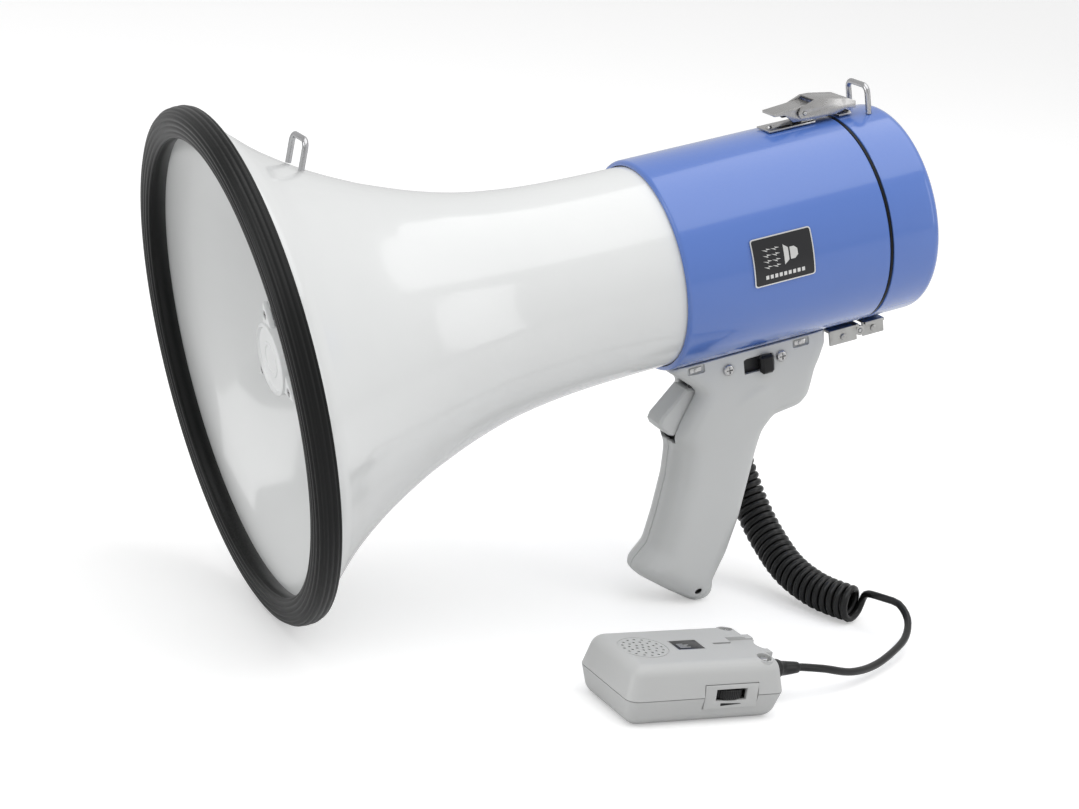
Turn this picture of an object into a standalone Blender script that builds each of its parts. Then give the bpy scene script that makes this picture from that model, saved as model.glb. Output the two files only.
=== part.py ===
"""Handheld megaphone with a corded hand microphone, built as the real one comes apart.

Metres. The megaphone is modelled level, with its axis on X, its mouth at x = 0 facing +X and its
left side at +Y, and is then tipped on to its rim and the heel of its grip by a parent empty.
The microphone lies on the same surface, and the cord's route is in world coordinates.
"""
from math import asin, atan2, cos, hypot, pi, sin, radians

import bmesh
import bpy
from mathutils import Matrix, Vector

GAP = 0.0003

# Horn
RIM_RADIUS = 0.115
RIM_EDGE = (-0.004, 0.003)          # x and radius of the rim's outer edge rounding
HORN_WALL = 0.0025
HORN_REAR = -0.212
HORN_PROFILE = [
    (-0.006, 0.1085), (-0.013, 0.1080), (-0.020, 0.1015), (-0.030, 0.0928), (-0.040, 0.0857),
    (-0.050, 0.0795), (-0.060, 0.0741), (-0.080, 0.0650), (-0.100, 0.0579), (-0.120, 0.0526),
    (-0.140, 0.0495), (-0.160, 0.0478), (-0.185, 0.0470), (HORN_REAR, 0.0468),
]
CAP_FRONT = -0.0215
CAP_RADIUS = 0.0165
EAR_CIRCLE = 0.0205
DRIVER_REAR = -0.086

# Body and rear cover
BODY_RADIUS = 0.0495
BODY_BORE = 0.0471
BODY_FRONT = -0.2017
BODY_REAR = -0.3055
COVER_FRONT = -0.3075
COVER_REAR = -0.3335
CELL_RADIUS = 0.0128
CELL_LENGTH = 0.0496
CELL_CIRCLE = 0.0168
CELL_FRONT = -0.2276

# Hinge and latch
HINGE_AXIS = (-0.3065, -0.0532)      # x and z
LATCH_PIVOT = (-0.2925, 0.0535)
LINK_PIVOT = (-0.2895, 0.0556)

# Handle
HANDLE_HALF = 0.0170
HANDLE_WALL = 0.0022
HEEL = (-0.2130, -0.1630)
HEEL_RADIUS = 0.0085
TRIGGER_PIVOT = (-0.2232, -0.0672)
TRIGGER_HALF = 0.0070
KNOB_REST = -0.2530
KNOB_Z = -0.0552

# Microphone
MIC_LENGTH = 0.0770
MIC_WIDTH = 0.0480
MIC_PARTING = 0.0125
MIC_HEIGHT = 0.0270
MIC_PLACE = (-0.0242, 0.1070)
MIC_TURN = radians(182.0)

# Cord
CORD_RADIUS = 0.0019
COIL_RADIUS = 0.0092
LEAD_ROUTE = [
    (-0.1129, -0.0493, 0.0867), (-0.1138, -0.0545, 0.0863), (-0.1166, -0.0588, 0.0838),
    (-0.1200, -0.0603, 0.0800), (-0.1232, -0.0604, 0.0752),
]
COIL_ROUTE = [
    (-0.1238, -0.0603, 0.0742), (-0.1275, -0.0594, 0.0690), (-0.1329, -0.0570, 0.0572),
    (-0.1374, -0.0520, 0.0450), (-0.1410, -0.0430, 0.0330), (-0.1442, -0.0300, 0.0225),
    (-0.1475, -0.0130, 0.0140), (-0.1535, 0.0050, 0.0098), (-0.1612, 0.0215, 0.0095),
    (-0.1705, 0.0360, 0.0095),
]
TAIL_ROUTE = [
    (-0.1708, 0.0364, 0.0095), (-0.1745, 0.0425, 0.0090), (-0.1740, 0.0520, 0.0055),
    (-0.1660, 0.0640, 0.0026), (-0.1520, 0.0760, 0.0023), (-0.1350, 0.0875, 0.0030),
    (-0.1170, 0.0970, 0.0062), (-0.0990, 0.1028, 0.0112), (-0.0838, 0.1047, 0.0135),
]

# Where the level megaphone stands in the world
PLACE = (0.15254, -0.0170)

FINISHES = {
    "white_gloss": ((0.86, 0.87, 0.87), 0.18, 0.0),
    "blue_gloss": ((0.16, 0.29, 0.66), 0.20, 0.0),
    "grey_plastic": ((0.58, 0.59, 0.59), 0.42, 0.0),
    "black_rubber": ((0.035, 0.036, 0.038), 0.55, 0.0),
    "black_plastic": ((0.02, 0.02, 0.022), 0.40, 0.0),
    "bright_steel": ((0.72, 0.72, 0.73), 0.18, 1.0),
    "brushed_steel": ((0.60, 0.60, 0.60), 0.34, 1.0),
    "label_black": ((0.012, 0.012, 0.014), 0.30, 0.0),
    "circuit_green": ((0.05, 0.22, 0.10), 0.45, 0.0),
    "cell_wrap": ((0.12, 0.12, 0.14), 0.35, 0.4),
    "magnet_dark": ((0.10, 0.10, 0.11), 0.50, 0.3),
}


# ---------------------------------------------------------------- scene and placing
def clear_scene():
    for obj in list(bpy.data.objects):
        bpy.data.objects.remove(obj, do_unlink=True)


def new_collection(name):
    collection = bpy.data.collections.new(name)
    bpy.context.scene.collection.children.link(collection)
    return collection


def new_empty(name, place, parent=None, turn=(0, 0, 0)):
    empty = bpy.data.objects.new(name, None)
    empty.empty_display_size = 0.02
    empty.location, empty.rotation_euler, empty.parent = place, turn, parent
    PARTS.objects.link(empty)
    return empty


def material(slot):
    found = bpy.data.materials.get(slot)
    if found:
        return found
    colour, roughness, metallic = FINISHES[slot]
    made = bpy.data.materials.new(slot)
    made.use_nodes = True
    made.diffuse_color = (*colour, 1)
    shader = made.node_tree.nodes["Principled BSDF"]
    shader.inputs["Base Color"].default_value = (*colour, 1)
    shader.inputs["Roughness"].default_value = roughness
    shader.inputs["Metallic"].default_value = metallic
    return made


def add(name, data, slot, parent=None):
    """A new object in the parts; with a parent, its data is in the parent's parent's coordinates."""
    obj = bpy.data.objects.new(name, data)
    PARTS.objects.link(obj)
    if slot:
        data.materials.append(material(slot))
    if parent is not None:
        obj.parent = parent
        if parent not in (MEGAPHONE, MICROPHONE, WORLD):
            obj.location = -parent.location
    return obj


def as_cutter(obj):
    PARTS.objects.unlink(obj)
    CUTTERS.objects.link(obj)
    obj.hide_render = True
    obj.display_type = "WIRE"
    return obj


def boolean(obj, other, operation):
    modifier = obj.modifiers.new(operation.title(), "BOOLEAN")
    modifier.operation = operation
    modifier.solver = "EXACT"
    modifier.object = as_cutter(other)


def cut(obj, *cutters):
    for cutter in cutters:
        boolean(obj, cutter, "DIFFERENCE")


def join(obj, *pieces):
    for piece in pieces:
        boolean(obj, piece, "UNION")


def smooth(obj, angle=35):
    obj.data.shade_smooth()
    obj.data.set_sharp_from_angle(angle=radians(angle))


# ---------------------------------------------------------------- shapes
def turned(name, profile, slot, parent, steps=32, closed=True, along="X", at=(0, 0, 0)):
    """A profile of (position along the axis, radius) turned about the axis through a point."""
    mesh = bpy.data.meshes.new(name)
    points = [(radius, 0, position) for position, radius in profile]
    edges = [(i, i + 1) for i in range(len(points) - 1)]
    if closed:
        edges.append((len(points) - 1, 0))
    mesh.from_pydata(points, edges, [])
    obj = add(name, mesh, slot, parent)
    obj.location = obj.location + Vector(at)
    obj.rotation_euler = {"X": (0, pi / 2, 0), "Y": (-pi / 2, 0, 0), "Z": (0, 0, 0)}[along]
    screw = obj.modifiers.new("Turn", "SCREW")
    screw.steps = screw.render_steps = steps
    screw.use_merge_vertices = True
    screw.merge_threshold = 0.00001
    screw.use_smooth_shade = True
    return obj


def block(name, low, high, slot, parent, bevel=0.0):
    mesh = bpy.data.meshes.new(name)
    low, high = Vector(low), Vector(high)
    shape = bmesh.new()
    bmesh.ops.create_cube(shape, size=1.0, matrix=Matrix.Translation((low + high) / 2)
                          @ Matrix.Diagonal((*(high - low), 1)))
    shape.to_mesh(mesh)
    shape.free()
    obj = add(name, mesh, slot, parent)
    if bevel:
        round_edges(obj, bevel)
    return obj


def round_edges(obj, width, segments=2, angle=40):
    modifier = obj.modifiers.new("Round", "BEVEL")
    modifier.width = width
    modifier.segments = segments
    modifier.limit_method = "ANGLE"
    modifier.angle_limit = radians(angle)


def rod(name, start, end, radius, slot, parent, sides=12, end_radius=None):
    start, end = Vector(start), Vector(end)
    line = end - start
    mesh = bpy.data.meshes.new(name)
    shape = bmesh.new()
    matrix = Matrix.Translation((start + end) / 2) @ line.to_track_quat("Z", "Y").to_matrix().to_4x4()
    bmesh.ops.create_cone(shape, cap_ends=True, segments=sides, radius1=radius,
                          radius2=radius if end_radius is None else end_radius,
                          depth=line.length, matrix=matrix)
    shape.to_mesh(mesh)
    shape.free()
    obj = add(name, mesh, slot, parent)
    smooth(obj)
    return obj


def mesh_from(obj, name, slot, parent):
    """The evaluated curve as a welded mesh in a new object; the curve is removed."""
    bpy.context.view_layer.update()
    graph = bpy.context.evaluated_depsgraph_get()
    mesh = bpy.data.meshes.new_from_object(obj.evaluated_get(graph))
    mesh.name = name
    mesh.transform(obj.matrix_basis)
    shape = bmesh.new()
    shape.from_mesh(mesh)
    bmesh.ops.remove_doubles(shape, verts=shape.verts, dist=0.00001)
    bmesh.ops.recalc_face_normals(shape, faces=shape.faces)
    shape.to_mesh(mesh)
    shape.free()
    mesh.materials.clear()
    bpy.data.objects.remove(obj, do_unlink=True)
    return add(name, mesh, slot, parent)


def outline(name, points, low, high, slot, parent):
    """A flat outline of (x, z) points made solid between two values of y."""
    curve = bpy.data.curves.new(name, "CURVE")
    curve.dimensions = "2D"
    curve.fill_mode = "BOTH"
    curve.extrude = (high - low) / 2
    spline = curve.splines.new("POLY")
    spline.points.add(len(points) - 1)
    for point, (x, z) in zip(spline.points, points):
        point.co = (x, z, 0, 1)
    spline.use_cyclic_u = True
    flat = bpy.data.objects.new(name + "_outline", curve)
    PARTS.objects.link(flat)
    flat.rotation_euler = (pi / 2, 0, 0)
    flat.location = (0, (low + high) / 2, 0)
    return mesh_from(flat, name, slot, parent)


def wire(name, points, radius, slot, parent, resolution=2, mesh=False):
    curve = bpy.data.curves.new(name, "CURVE")
    curve.dimensions = "3D"
    curve.bevel_depth = radius
    curve.bevel_resolution = resolution
    curve.use_fill_caps = True
    spline = curve.splines.new("POLY")
    spline.points.add(len(points) - 1)
    for point, place in zip(spline.points, points):
        point.co = (*place, 1)
    obj = add(name, curve, slot, parent)
    return mesh_from(obj, name, slot, parent) if mesh else obj


def arc(centre, radius, first, last, count):
    """Points on a circle in a plane, from one angle in degrees to another."""
    angles = [radians(first + (last - first) * i / (count - 1)) for i in range(count)]
    return [(centre[0] + radius * cos(a), centre[1] + radius * sin(a)) for a in angles]


def smooth_route(route, spacing):
    """Evenly spaced points on a smooth curve through a route's points."""
    points = [Vector(p) for p in route]
    points = [2 * points[0] - points[1]] + points + [2 * points[-1] - points[-2]]
    fine = []
    for a, b, c, d in zip(points, points[1:], points[2:], points[3:]):
        for step in range(24):
            t = step / 24
            fine.append(0.5 * (2 * b + (c - a) * t + (2 * a - 5 * b + 4 * c - d) * t ** 2
                               + (3 * b - a - 3 * c + d) * t ** 3))
    fine.append(points[-2])
    length = sum((q - p).length for p, q in zip(fine, fine[1:]))
    count = max(2, round(length / spacing))
    evenly, run, goal = [fine[0]], 0.0, length / count
    for p, q in zip(fine, fine[1:]):
        step = (q - p).length
        while step and run + step >= goal * len(evenly) and len(evenly) < count:
            evenly.append(p.lerp(q, (goal * len(evenly) - run) / step))
        run += step
    return evenly + [fine[-1]]


# ---------------------------------------------------------------- horn
def horn_bell():
    inner = [(x, r - HORN_WALL) for x, r in HORN_PROFILE[::-1] if x != HORN_PROFILE[2][0]]
    inner.insert(-2, (HORN_PROFILE[2][0] - 0.0007, HORN_PROFILE[2][1] - HORN_WALL))
    turned("horn_bell", HORN_PROFILE + inner, "white_gloss", MEGAPHONE, steps=48)


def rim_bumper():
    edge_x, edge_r = RIM_EDGE
    crown = [(edge_x + x, RIM_RADIUS - edge_r + r) for x, r in arc((0, 0), edge_r, 20, 90, 4)]
    profile = [(0, 0.1065)] + crown + [
        (-0.0090, RIM_RADIUS), (-0.0110, 0.1135), (-0.0110, 0.1089), (-0.0055, 0.1089),
        (-0.0055, 0.1055), (-0.0095, 0.1050), (-0.0095, 0.1030), (-0.0060, 0.1010),
        (-0.0015, 0.1012), (0, 0.1035),
    ]
    turned("rim_bumper", profile, "black_rubber", MEGAPHONE, steps=48)


def throat_reflector():
    rear = HORN_REAR + 0.0005
    profile = [(rear + 0.0270, 0), (rear + 0.0250, 0.004), (rear + 0.0150, 0.014),
               (rear + 0.0090, 0.026), (rear + 0.0075, 0.0440), (rear, 0.0440), (rear, 0)]
    turned("throat_reflector", profile, "white_gloss", MEGAPHONE, steps=24, closed=False)


def inner_horn():
    flange, wall = 0.0300, 0.0018
    outer = [(DRIVER_REAR - GAP, flange), (-0.0885, flange), (-0.0885, 0.0150), (-0.120, 0.0185),
             (-0.150, 0.0250), (-0.168, 0.0320)]
    inner = [(-0.168, 0.0320 - wall), (-0.150, 0.0250 - wall), (-0.120, 0.0185 - wall),
             (DRIVER_REAR - GAP, 0.0120)]
    horn = turned("inner_horn", outer + inner, "white_gloss", MEGAPHONE, steps=24)
    for number, angle in enumerate((90, 210, 330)):
        strut = block("strut", (-0.166, -0.0015, 0.0245), (-0.150, 0.0015, 0.0446), None, MEGAPHONE)
        strut.rotation_euler.x = radians(angle - 90)
        join(horn, strut)


def driver_housing():
    front, wall = CAP_FRONT - 0.0043, 0.0020
    outer = [(front, 0.0155), (front - 0.0015, 0.0162), (-0.040, 0.0168), (-0.052, 0.0225),
             (-0.062, 0.0300), (DRIVER_REAR, 0.0300)]
    inner = [(DRIVER_REAR, 0.0300 - wall), (-0.063, 0.0300 - wall), (-0.053, 0.0210),
             (-0.041, 0.0148), (front, 0.0135)]
    housing = turned("driver_housing", outer + inner, "white_gloss", MEGAPHONE, steps=24)
    for angle in (90, 210, 330):
        place = (EAR_CIRCLE * cos(radians(angle)), EAR_CIRCLE * sin(radians(angle)))
        join(housing, rod("boss", (front, *place), (-0.054, *place), 0.0032, None, MEGAPHONE, 10))


def driver():
    turned("driver_magnet", [(-0.0640, 0.0250), (-0.0785, 0.0250), (-0.0785, 0.0080),
                             (-0.0640, 0.0080)], "magnet_dark", MEGAPHONE, steps=24)
    turned("driver_diaphragm", [(-0.0790, 0), (-0.0790, 0.0265), (-0.0820, 0.0265),
                                (-0.0835, 0.0150), (-0.0845, 0.0060), (-0.0845, 0)],
           "cell_wrap", MEGAPHONE, steps=24, closed=False)
    front, rear = CAP_FRONT, CAP_FRONT - 0.0040
    profile = [(front - 0.0008, 0), (front - 0.0008, CAP_RADIUS - 0.0022), (front, CAP_RADIUS - 0.0018),
               (front, CAP_RADIUS - 0.0005), (front - 0.0006, CAP_RADIUS), (rear, CAP_RADIUS), (rear, 0)]
    cap = turned("driver_cap", profile, "white_gloss", MEGAPHONE, steps=30, closed=False)
    for angle in (90, 210, 330):
        place = (EAR_CIRCLE * cos(radians(angle)), EAR_CIRCLE * sin(radians(angle)))
        join(cap, rod("ear", (rear + 0.0001, *place), (front - 0.0012, *place), 0.0045, None, MEGAPHONE))


def strap_loop(name, x, radius, lean, parent):
    """A bent wire that stands on a round surface with its two feet side by side."""
    half, height, corner, thickness = 0.0085, 0.0130, 0.0035, 0.0011
    foot = (radius ** 2 - half ** 2) ** 0.5 + 0.0004
    sides = [(half, 0)] + arc((half - corner, height - corner), corner, 0, 90, 5)
    route = [(y, z) for y, z in sides] + [(-y, z) for y, z in sides[::-1]]
    points = [(x - sin(lean) * z, y, foot + cos(lean) * z) for y, z in route]
    wire(name, points, thickness, "bright_steel", parent)


# ---------------------------------------------------------------- body
def body_barrel():
    profile = [
        (BODY_FRONT, 0.0478), (BODY_FRONT - 0.0008, 0.0489), (BODY_FRONT - 0.0025, BODY_RADIUS),
        (BODY_REAR, BODY_RADIUS), (BODY_REAR, BODY_BORE), (-0.2155, BODY_BORE), (-0.2155, 0.0445),
        (HORN_REAR - 0.0005, 0.0445), (HORN_REAR - 0.0005, 0.0473), (BODY_FRONT, 0.0473),
    ]
    turned("body_barrel", profile, "blue_gloss", MEGAPHONE, steps=48)


def seam_gasket():
    front, rear = BODY_REAR - GAP, COVER_FRONT + GAP
    turned("seam_gasket", [(front, 0.0492), (rear, 0.0492), (rear, 0.0474), (front, 0.0474)],
           "black_rubber", MEGAPHONE, steps=48)


def rear_cover():
    corner = arc((COVER_REAR + 0.005, BODY_RADIUS - 0.005), 0.005, 90, 180, 4)
    profile = [
        (-0.3312, 0), (-0.3312, 0.0445), (-0.3290, BODY_BORE), (COVER_FRONT, BODY_BORE),
        (COVER_FRONT, BODY_RADIUS)] + corner + [(COVER_REAR, 0)]
    turned("rear_cover", profile, "blue_gloss", COVER, steps=48, closed=False)


def contact_plate():
    plate = turned("contact_plate", [(-0.3293, 0), (-0.3293, 0.0430), (-0.3305, 0.0430), (-0.3305, 0)],
                   "circuit_green", COVER, steps=24, closed=False)
    for y, z in cell_places():
        nub = rod("nub", (-0.3296, y, z), (-0.3284, y, z), 0.0045, None, COVER, 10, end_radius=0.0030)
        join(plate, nub)


def cell_places():
    return [(CELL_CIRCLE * cos(radians(a)), CELL_CIRCLE * sin(radians(a))) for a in (90, 210, 330)]


def battery_cells():
    number = 0
    for layer in range(2):
        front = CELL_FRONT - layer * (CELL_LENGTH + GAP)
        for y, z in cell_places():
            number += 1
            profile = [(front, 0), (front, 0.0028), (front - 0.0012, 0.0030), (front - 0.0015, 0.0110),
                       (front - 0.0024, CELL_RADIUS), (front - CELL_LENGTH, CELL_RADIUS),
                       (front - CELL_LENGTH, 0)]
            turned(f"battery_cell_{number}", profile, "cell_wrap", MEGAPHONE, steps=12,
                   closed=False, at=(0, y, z))


def battery_sleeve():
    front, rear, inner, outer = -0.2260, -0.3045, 0.0300, 0.0315
    sleeve = turned("battery_sleeve", [(front, outer), (rear, outer), (rear, inner), (front, inner)],
                    "black_plastic", MEGAPHONE, steps=24)
    for angle in (0, 90, 180, 270):
        rib = block("rib", (rear, -0.0010, 0.0308), (front, 0.0010, 0.0466), None, MEGAPHONE)
        rib.rotation_euler.x = radians(angle + 45)
        join(sleeve, rib)


def amplifier_board():
    board = turned("amplifier_board", [(-0.2158, 0), (-0.2158, 0.0466), (-0.2174, 0.0466), (-0.2174, 0)],
                   "circuit_green", MEGAPHONE, steps=24, closed=False)
    join(board, block("heat_sink", (-0.2245, -0.012, 0.018), (-0.2170, 0.012, 0.030), None, MEGAPHONE),
         block("transformer", (-0.2240, -0.010, -0.034), (-0.2170, 0.010, -0.018), None, MEGAPHONE))
    for y in (-0.026, 0.026):
        join(board, rod("capacitor", (-0.2170, y, 0), (-0.2242, y, 0), 0.005, None, MEGAPHONE, 10))


def label_plate():
    low, high = 0.0498, 0.0503
    x_middle, half_length, half_height, angle = -0.2499, 0.0155, 0.0112, radians(6.5)
    plate = turned("label_plate", [(-0.225, high), (-0.275, high), (-0.275, low), (-0.225, low)],
                   "label_black", MEGAPHONE, steps=72)
    window = block("label_window", (x_middle - half_length, 0.030, -half_height),
                   (x_middle + half_length, 0.060, half_height), None, MEGAPHONE)
    window.rotation_euler.x = angle
    boolean(plate, window, "INTERSECT")


# ---------------------------------------------------------------- latch
def pin_hole(x, z, radius, parent, half=0.010):
    return rod("hole", (x, -half, z), (x, half, z), radius, None, parent)


def latch_base():
    x, z = LATCH_PIVOT
    top = BODY_RADIUS + 0.0012
    base = block("latch_base", (-0.2955, -0.0060, BODY_RADIUS + GAP), (-0.2710, 0.0060, top),
                 "brushed_steel", MEGAPHONE)
    ear = [(x + 0.0040, top - 0.0004)] + arc((x, z), 0.0022, 20, 180, 6) + [(x - 0.0026, top - 0.0004)]
    join(base, outline("ear", ear, 0.0032, 0.0044, None, MEGAPHONE),
         outline("ear", ear, -0.0044, -0.0032, None, MEGAPHONE))
    join(base, rod("rivet", (-0.2740, 0, top - 0.0003), (-0.2740, 0, top + 0.0010), 0.0020, None, MEGAPHONE,
                   10, 0.0012))
    cut(base, pin_hole(x, z, 0.0012, MEGAPHONE))
    rod("latch_pivot_pin", (x, -0.0056, z), (x, 0.0056, z), 0.0010, "bright_steel", MEGAPHONE)


def latch_lever():
    x, z = LATCH_PIVOT
    side = [(-0.2745, 0.0566), (-0.2745, 0.0578), (-0.2945, 0.0592), (-0.2950, 0.0580), (x - 0.0022, z),
            (x - 0.0010, z - 0.0020), (x + 0.0012, z - 0.0019), (-0.2880, 0.0520), (-0.2840, 0.0522),
            (-0.2800, 0.0562)]
    lever = outline("latch_lever", side, -0.0058, 0.0058, "brushed_steel", LEVER)
    hollow = [(-0.2700, 0.0500), (-0.2700, 0.0563), (-0.2800, 0.0567), (-0.2960, 0.0582), (-0.2970, 0.0500)]
    cut(lever, outline("hollow", hollow, -0.0048, 0.0048, None, LEVER))
    cut(lever, pin_hole(x, z, 0.0012, LEVER), pin_hole(*LINK_PIVOT, 0.0011, LEVER))
    link_x, link_z = LINK_PIVOT
    rod("latch_link_pin", (link_x, -0.0078, link_z), (link_x, 0.0078, link_z), 0.0009, "bright_steel", LEVER)


def latch_hook():
    x, z = LINK_PIVOT
    side = arc((x, z), 0.0030, 60, -110, 7) + [
        (-0.2945, 0.0520), (-0.3060, 0.0520), (-0.3120, 0.0536), (-0.3165, 0.0527), (-0.3168, 0.0560),
        (-0.3120, 0.0585), (-0.3000, 0.0606), (-0.2954, 0.0608)]
    hook = outline("latch_hook", side, -0.0072, 0.0072, "brushed_steel", HOOK)
    hollow = [(-0.2800, 0.0500), (-0.2800, 0.0640), (-0.2950, 0.0640), (-0.2955, 0.0597), (-0.3000, 0.0595),
              (-0.3120, 0.0573), (-0.3156, 0.0553), (-0.3150, 0.0500)]
    cut(hook, outline("hollow", hollow, -0.0062, 0.0062, None, HOOK))
    cut(hook, pin_hole(x, z, 0.0011, HOOK))


def latch_catch():
    top = BODY_RADIUS + 0.0012
    catch = block("latch_catch", (-0.3150, -0.0055, BODY_RADIUS + GAP), (-0.3085, 0.0055, top),
                  "brushed_steel", COVER)
    join(catch, rod("curl", (-0.3142, -0.0050, top), (-0.3142, 0.0050, top), 0.0008, None, COVER, 10))


# ---------------------------------------------------------------- hinge
def hinge_leaf(name, x_far, knuckles, slot, parent):
    """A flat leaf under the body, its knuckles on the pin and its rivets' formed heads."""
    x, z = HINGE_AXIS
    radius, half, side = 0.0024, 0.0150, 1 if x_far > x else -1
    top, under = -BODY_RADIUS - GAP, -BODY_RADIUS - 0.0016
    low, high = sorted((x + side * 0.0004, x_far))
    leaf = block(name, (low, -half, under), (high, half, top), slot, parent)
    clear = [span for span in ((-half, -0.0052), (-0.0052, 0.0052), (0.0052, half)) if span not in knuckles]
    for start, end in clear:
        cut(leaf, block("clear", (x - 0.0030, start - GAP, z - 0.004), (x + 0.0030, end + GAP, top + 0.001),
                        None, parent))
    for start, end in knuckles:
        join(leaf, rod("knuckle", (x, start + GAP / 2, z), (x, end - GAP / 2, z), radius, None, parent, 14))
    for y in (-0.0100, 0.0100):
        place = (x_far + x + side * 0.003) / 2
        join(leaf, rod("head", (place, y, under + 0.0004), (place, y, under - 0.0012), 0.0022, None, parent,
                       10, 0.0014))
    cut(leaf, pin_hole(x, z, 0.0012, parent, half=0.020))


def hinge():
    x, z = HINGE_AXIS
    hinge_leaf("hinge_leaf_body", -0.2900, [(-0.0150, -0.0052), (0.0052, 0.0150)], "brushed_steel", MEGAPHONE)
    hinge_leaf("hinge_leaf_cover", -0.3200, [(-0.0052, 0.0052)], "brushed_steel", COVER)
    rod("hinge_pin", (x, -0.0150, z), (x, 0.0150, z), 0.0010, "bright_steel", MEGAPHONE)


# ---------------------------------------------------------------- handle
def handle_outline():
    """The pistol grip from the side, going round from the front of its saddle."""
    heel = arc(HEEL, HEEL_RADIUS, -55, -182, 6)
    return [
        (-0.2065, -0.0360), (-0.2065, -0.0505), (-0.2120, -0.0550), (-0.2185, -0.0610), (-0.2200, -0.0640),
        (-0.2065, -0.0845), (-0.2075, -0.0910), (-0.2040, -0.1050), (-0.1970, -0.1230), (-0.1910, -0.1360),
        (-0.1830, -0.1425), (-0.1812, -0.1460), (-0.1835, -0.1500), (-0.1970, -0.1615)] + heel + [
        (-0.2235, -0.1590), (-0.2295, -0.1505), (-0.2385, -0.1330), (-0.2505, -0.1020), (-0.2545, -0.0930),
        (-0.2600, -0.0870), (-0.2740, -0.0852), (-0.2790, -0.0800), (-0.2820, -0.0670), (-0.2880, -0.0550),
        (-0.2895, -0.0360),
    ]


def handle_shell(name, side):
    """One half of the grip: an open shell thickened inwards, cut to the body above and split in the middle."""
    near, far = (GAP / 2, HANDLE_HALF) if side > 0 else (-HANDLE_HALF, -GAP / 2)
    shell = outline(name, handle_outline(), near, far, "grey_plastic", MEGAPHONE)
    middle = near if side > 0 else far
    shape = bmesh.new()
    shape.from_mesh(shell.data)
    rim = [e for e in shape.edges if all(abs(v.co.y - side * HANDLE_HALF) < 1e-6 for v in e.verts)
           and len(e.link_faces) == 2 and any(abs(f.normal.y) < 0.5 for f in e.link_faces)]
    bmesh.ops.bevel(shape, geom=rim, offset=0.0060, offset_type="OFFSET", segments=3, profile=0.5,
                    affect="EDGES")
    flat = [f for f in shape.faces if all(abs(v.co.y - middle) < 1e-6 for v in f.verts)]
    bmesh.ops.delete(shape, geom=flat, context="FACES_ONLY")
    shape.to_mesh(shell.data)
    shape.free()
    thick = shell.modifiers.new("Wall", "SOLIDIFY")
    thick.thickness = HANDLE_WALL
    thick.offset = -1
    thick.use_even_offset = True
    cut(shell, rod("body_clearance", (-0.19, 0, 0), (-0.31, 0, 0), BODY_RADIUS + 0.0004, None, MEGAPHONE, 64))
    cut(shell, block("trigger_way", (-0.2230, -0.0076, -0.0875), (-0.1950, 0.0076, -0.0620), None, MEGAPHONE))
    cut(shell, rod("pin_seat", (TRIGGER_PIVOT[0], -0.0141, TRIGGER_PIVOT[1]),
                   (TRIGGER_PIVOT[0], 0.0141, TRIGGER_PIVOT[1]), 0.0019, None, MEGAPHONE))
    x, z = (-0.2101, -0.1635)
    cut(shell, rod("lanyard_hole", (x, -0.03, z), (x, 0.03, z), 0.0017, None, MEGAPHONE, 10))
    return shell


def left_shell():
    shell = handle_shell("handle_shell_left", 1)
    cut(shell, block("switch_slot", (-0.2576, 0.0100, -0.0586), (-0.2424, 0.0200, -0.0518), None, MEGAPHONE))
    for name, x in (("front", -0.2338), ("rear", -0.2620)):
        z = -0.0540
        cut(shell, rod("hole", (x, 0.010, z), (x, 0.020, z), 0.0014, None, MEGAPHONE))
        screw = rod(f"switch_screw_{name}", (x, HANDLE_HALF + GAP, z), (x, HANDLE_HALF + 0.0018, z), 0.0028,
                    "bright_steel", MEGAPHONE, 16, 0.0018)
        join(screw, rod("shank", (x, 0.0130, z), (x, HANDLE_HALF + 0.0010, z), 0.0011, None, MEGAPHONE))
        for turn in (0, 90):
            slot = block("cross", (-0.0016, HANDLE_HALF + 0.0010, -0.0003), (0.0016, 0.0200, 0.0003), None,
                         MEGAPHONE)
            slot.location, slot.rotation_euler = (x, 0, z), (0, radians(turn + 20), 0)
            cut(screw, slot)


def right_shell():
    shell = handle_shell("handle_shell_right", -1)
    outer = -HANDLE_HALF
    for name, x, z in (("upper", -0.2680, -0.0720), ("lower", -0.2150, -0.1430)):
        cut(shell, rod("recess", (x, outer - 0.002, z), (x, outer + 0.0012, z), 0.0030, None, MEGAPHONE))
        cut(shell, rod("hole", (x, -0.020, z), (x, -0.010, z), 0.0014, None, MEGAPHONE))
        screw = rod(f"handle_screw_{name}", (x, outer + 0.0009, z), (x, outer - 0.0004, z), 0.0026,
                    "bright_steel", MEGAPHONE, 12, 0.0020)
        join(screw, rod("shank", (x, outer + 0.0005, z), (x, -0.0100, z), 0.0011, None, MEGAPHONE))
    x, z = GLAND
    cut(shell, rod("gland_hole", (x, -0.020, z), (x, -0.010, z), 0.0040, None, MEGAPHONE))
    profile = [(0.0060, 0), (0.0060, 0.0036), (-0.0012, 0.0037), (-0.0012, 0.0056), (-0.0030, 0.0056),
               (-0.0045, 0.0044), (-0.0155, 0.0032), (-0.0155, 0)]
    turned("handle_cord_gland", profile, "black_rubber", MEGAPHONE, steps=16, closed=False, along="Y",
           at=(x, outer + 0.0008, z))


def slide_switch():
    block("slide_switch_body", (-0.2600, 0.0060, -0.0612), (-0.2400, 0.0142, -0.0512), "black_plastic",
          MEGAPHONE)
    knob = block("slide_switch_knob", (-0.0035, HANDLE_HALF + GAP, -0.0046), (0.0035, 0.0212, 0.0046),
                 "black_plastic", None)
    round_edges(knob, 0.0012, 1)
    join(knob, block("stem", (-0.0022, 0.0146, -0.0022), (0.0022, 0.0190, 0.0022), None, knob))
    knob.parent, knob.location = MEGAPHONE, (KNOB_REST, 0, KNOB_Z)


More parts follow.
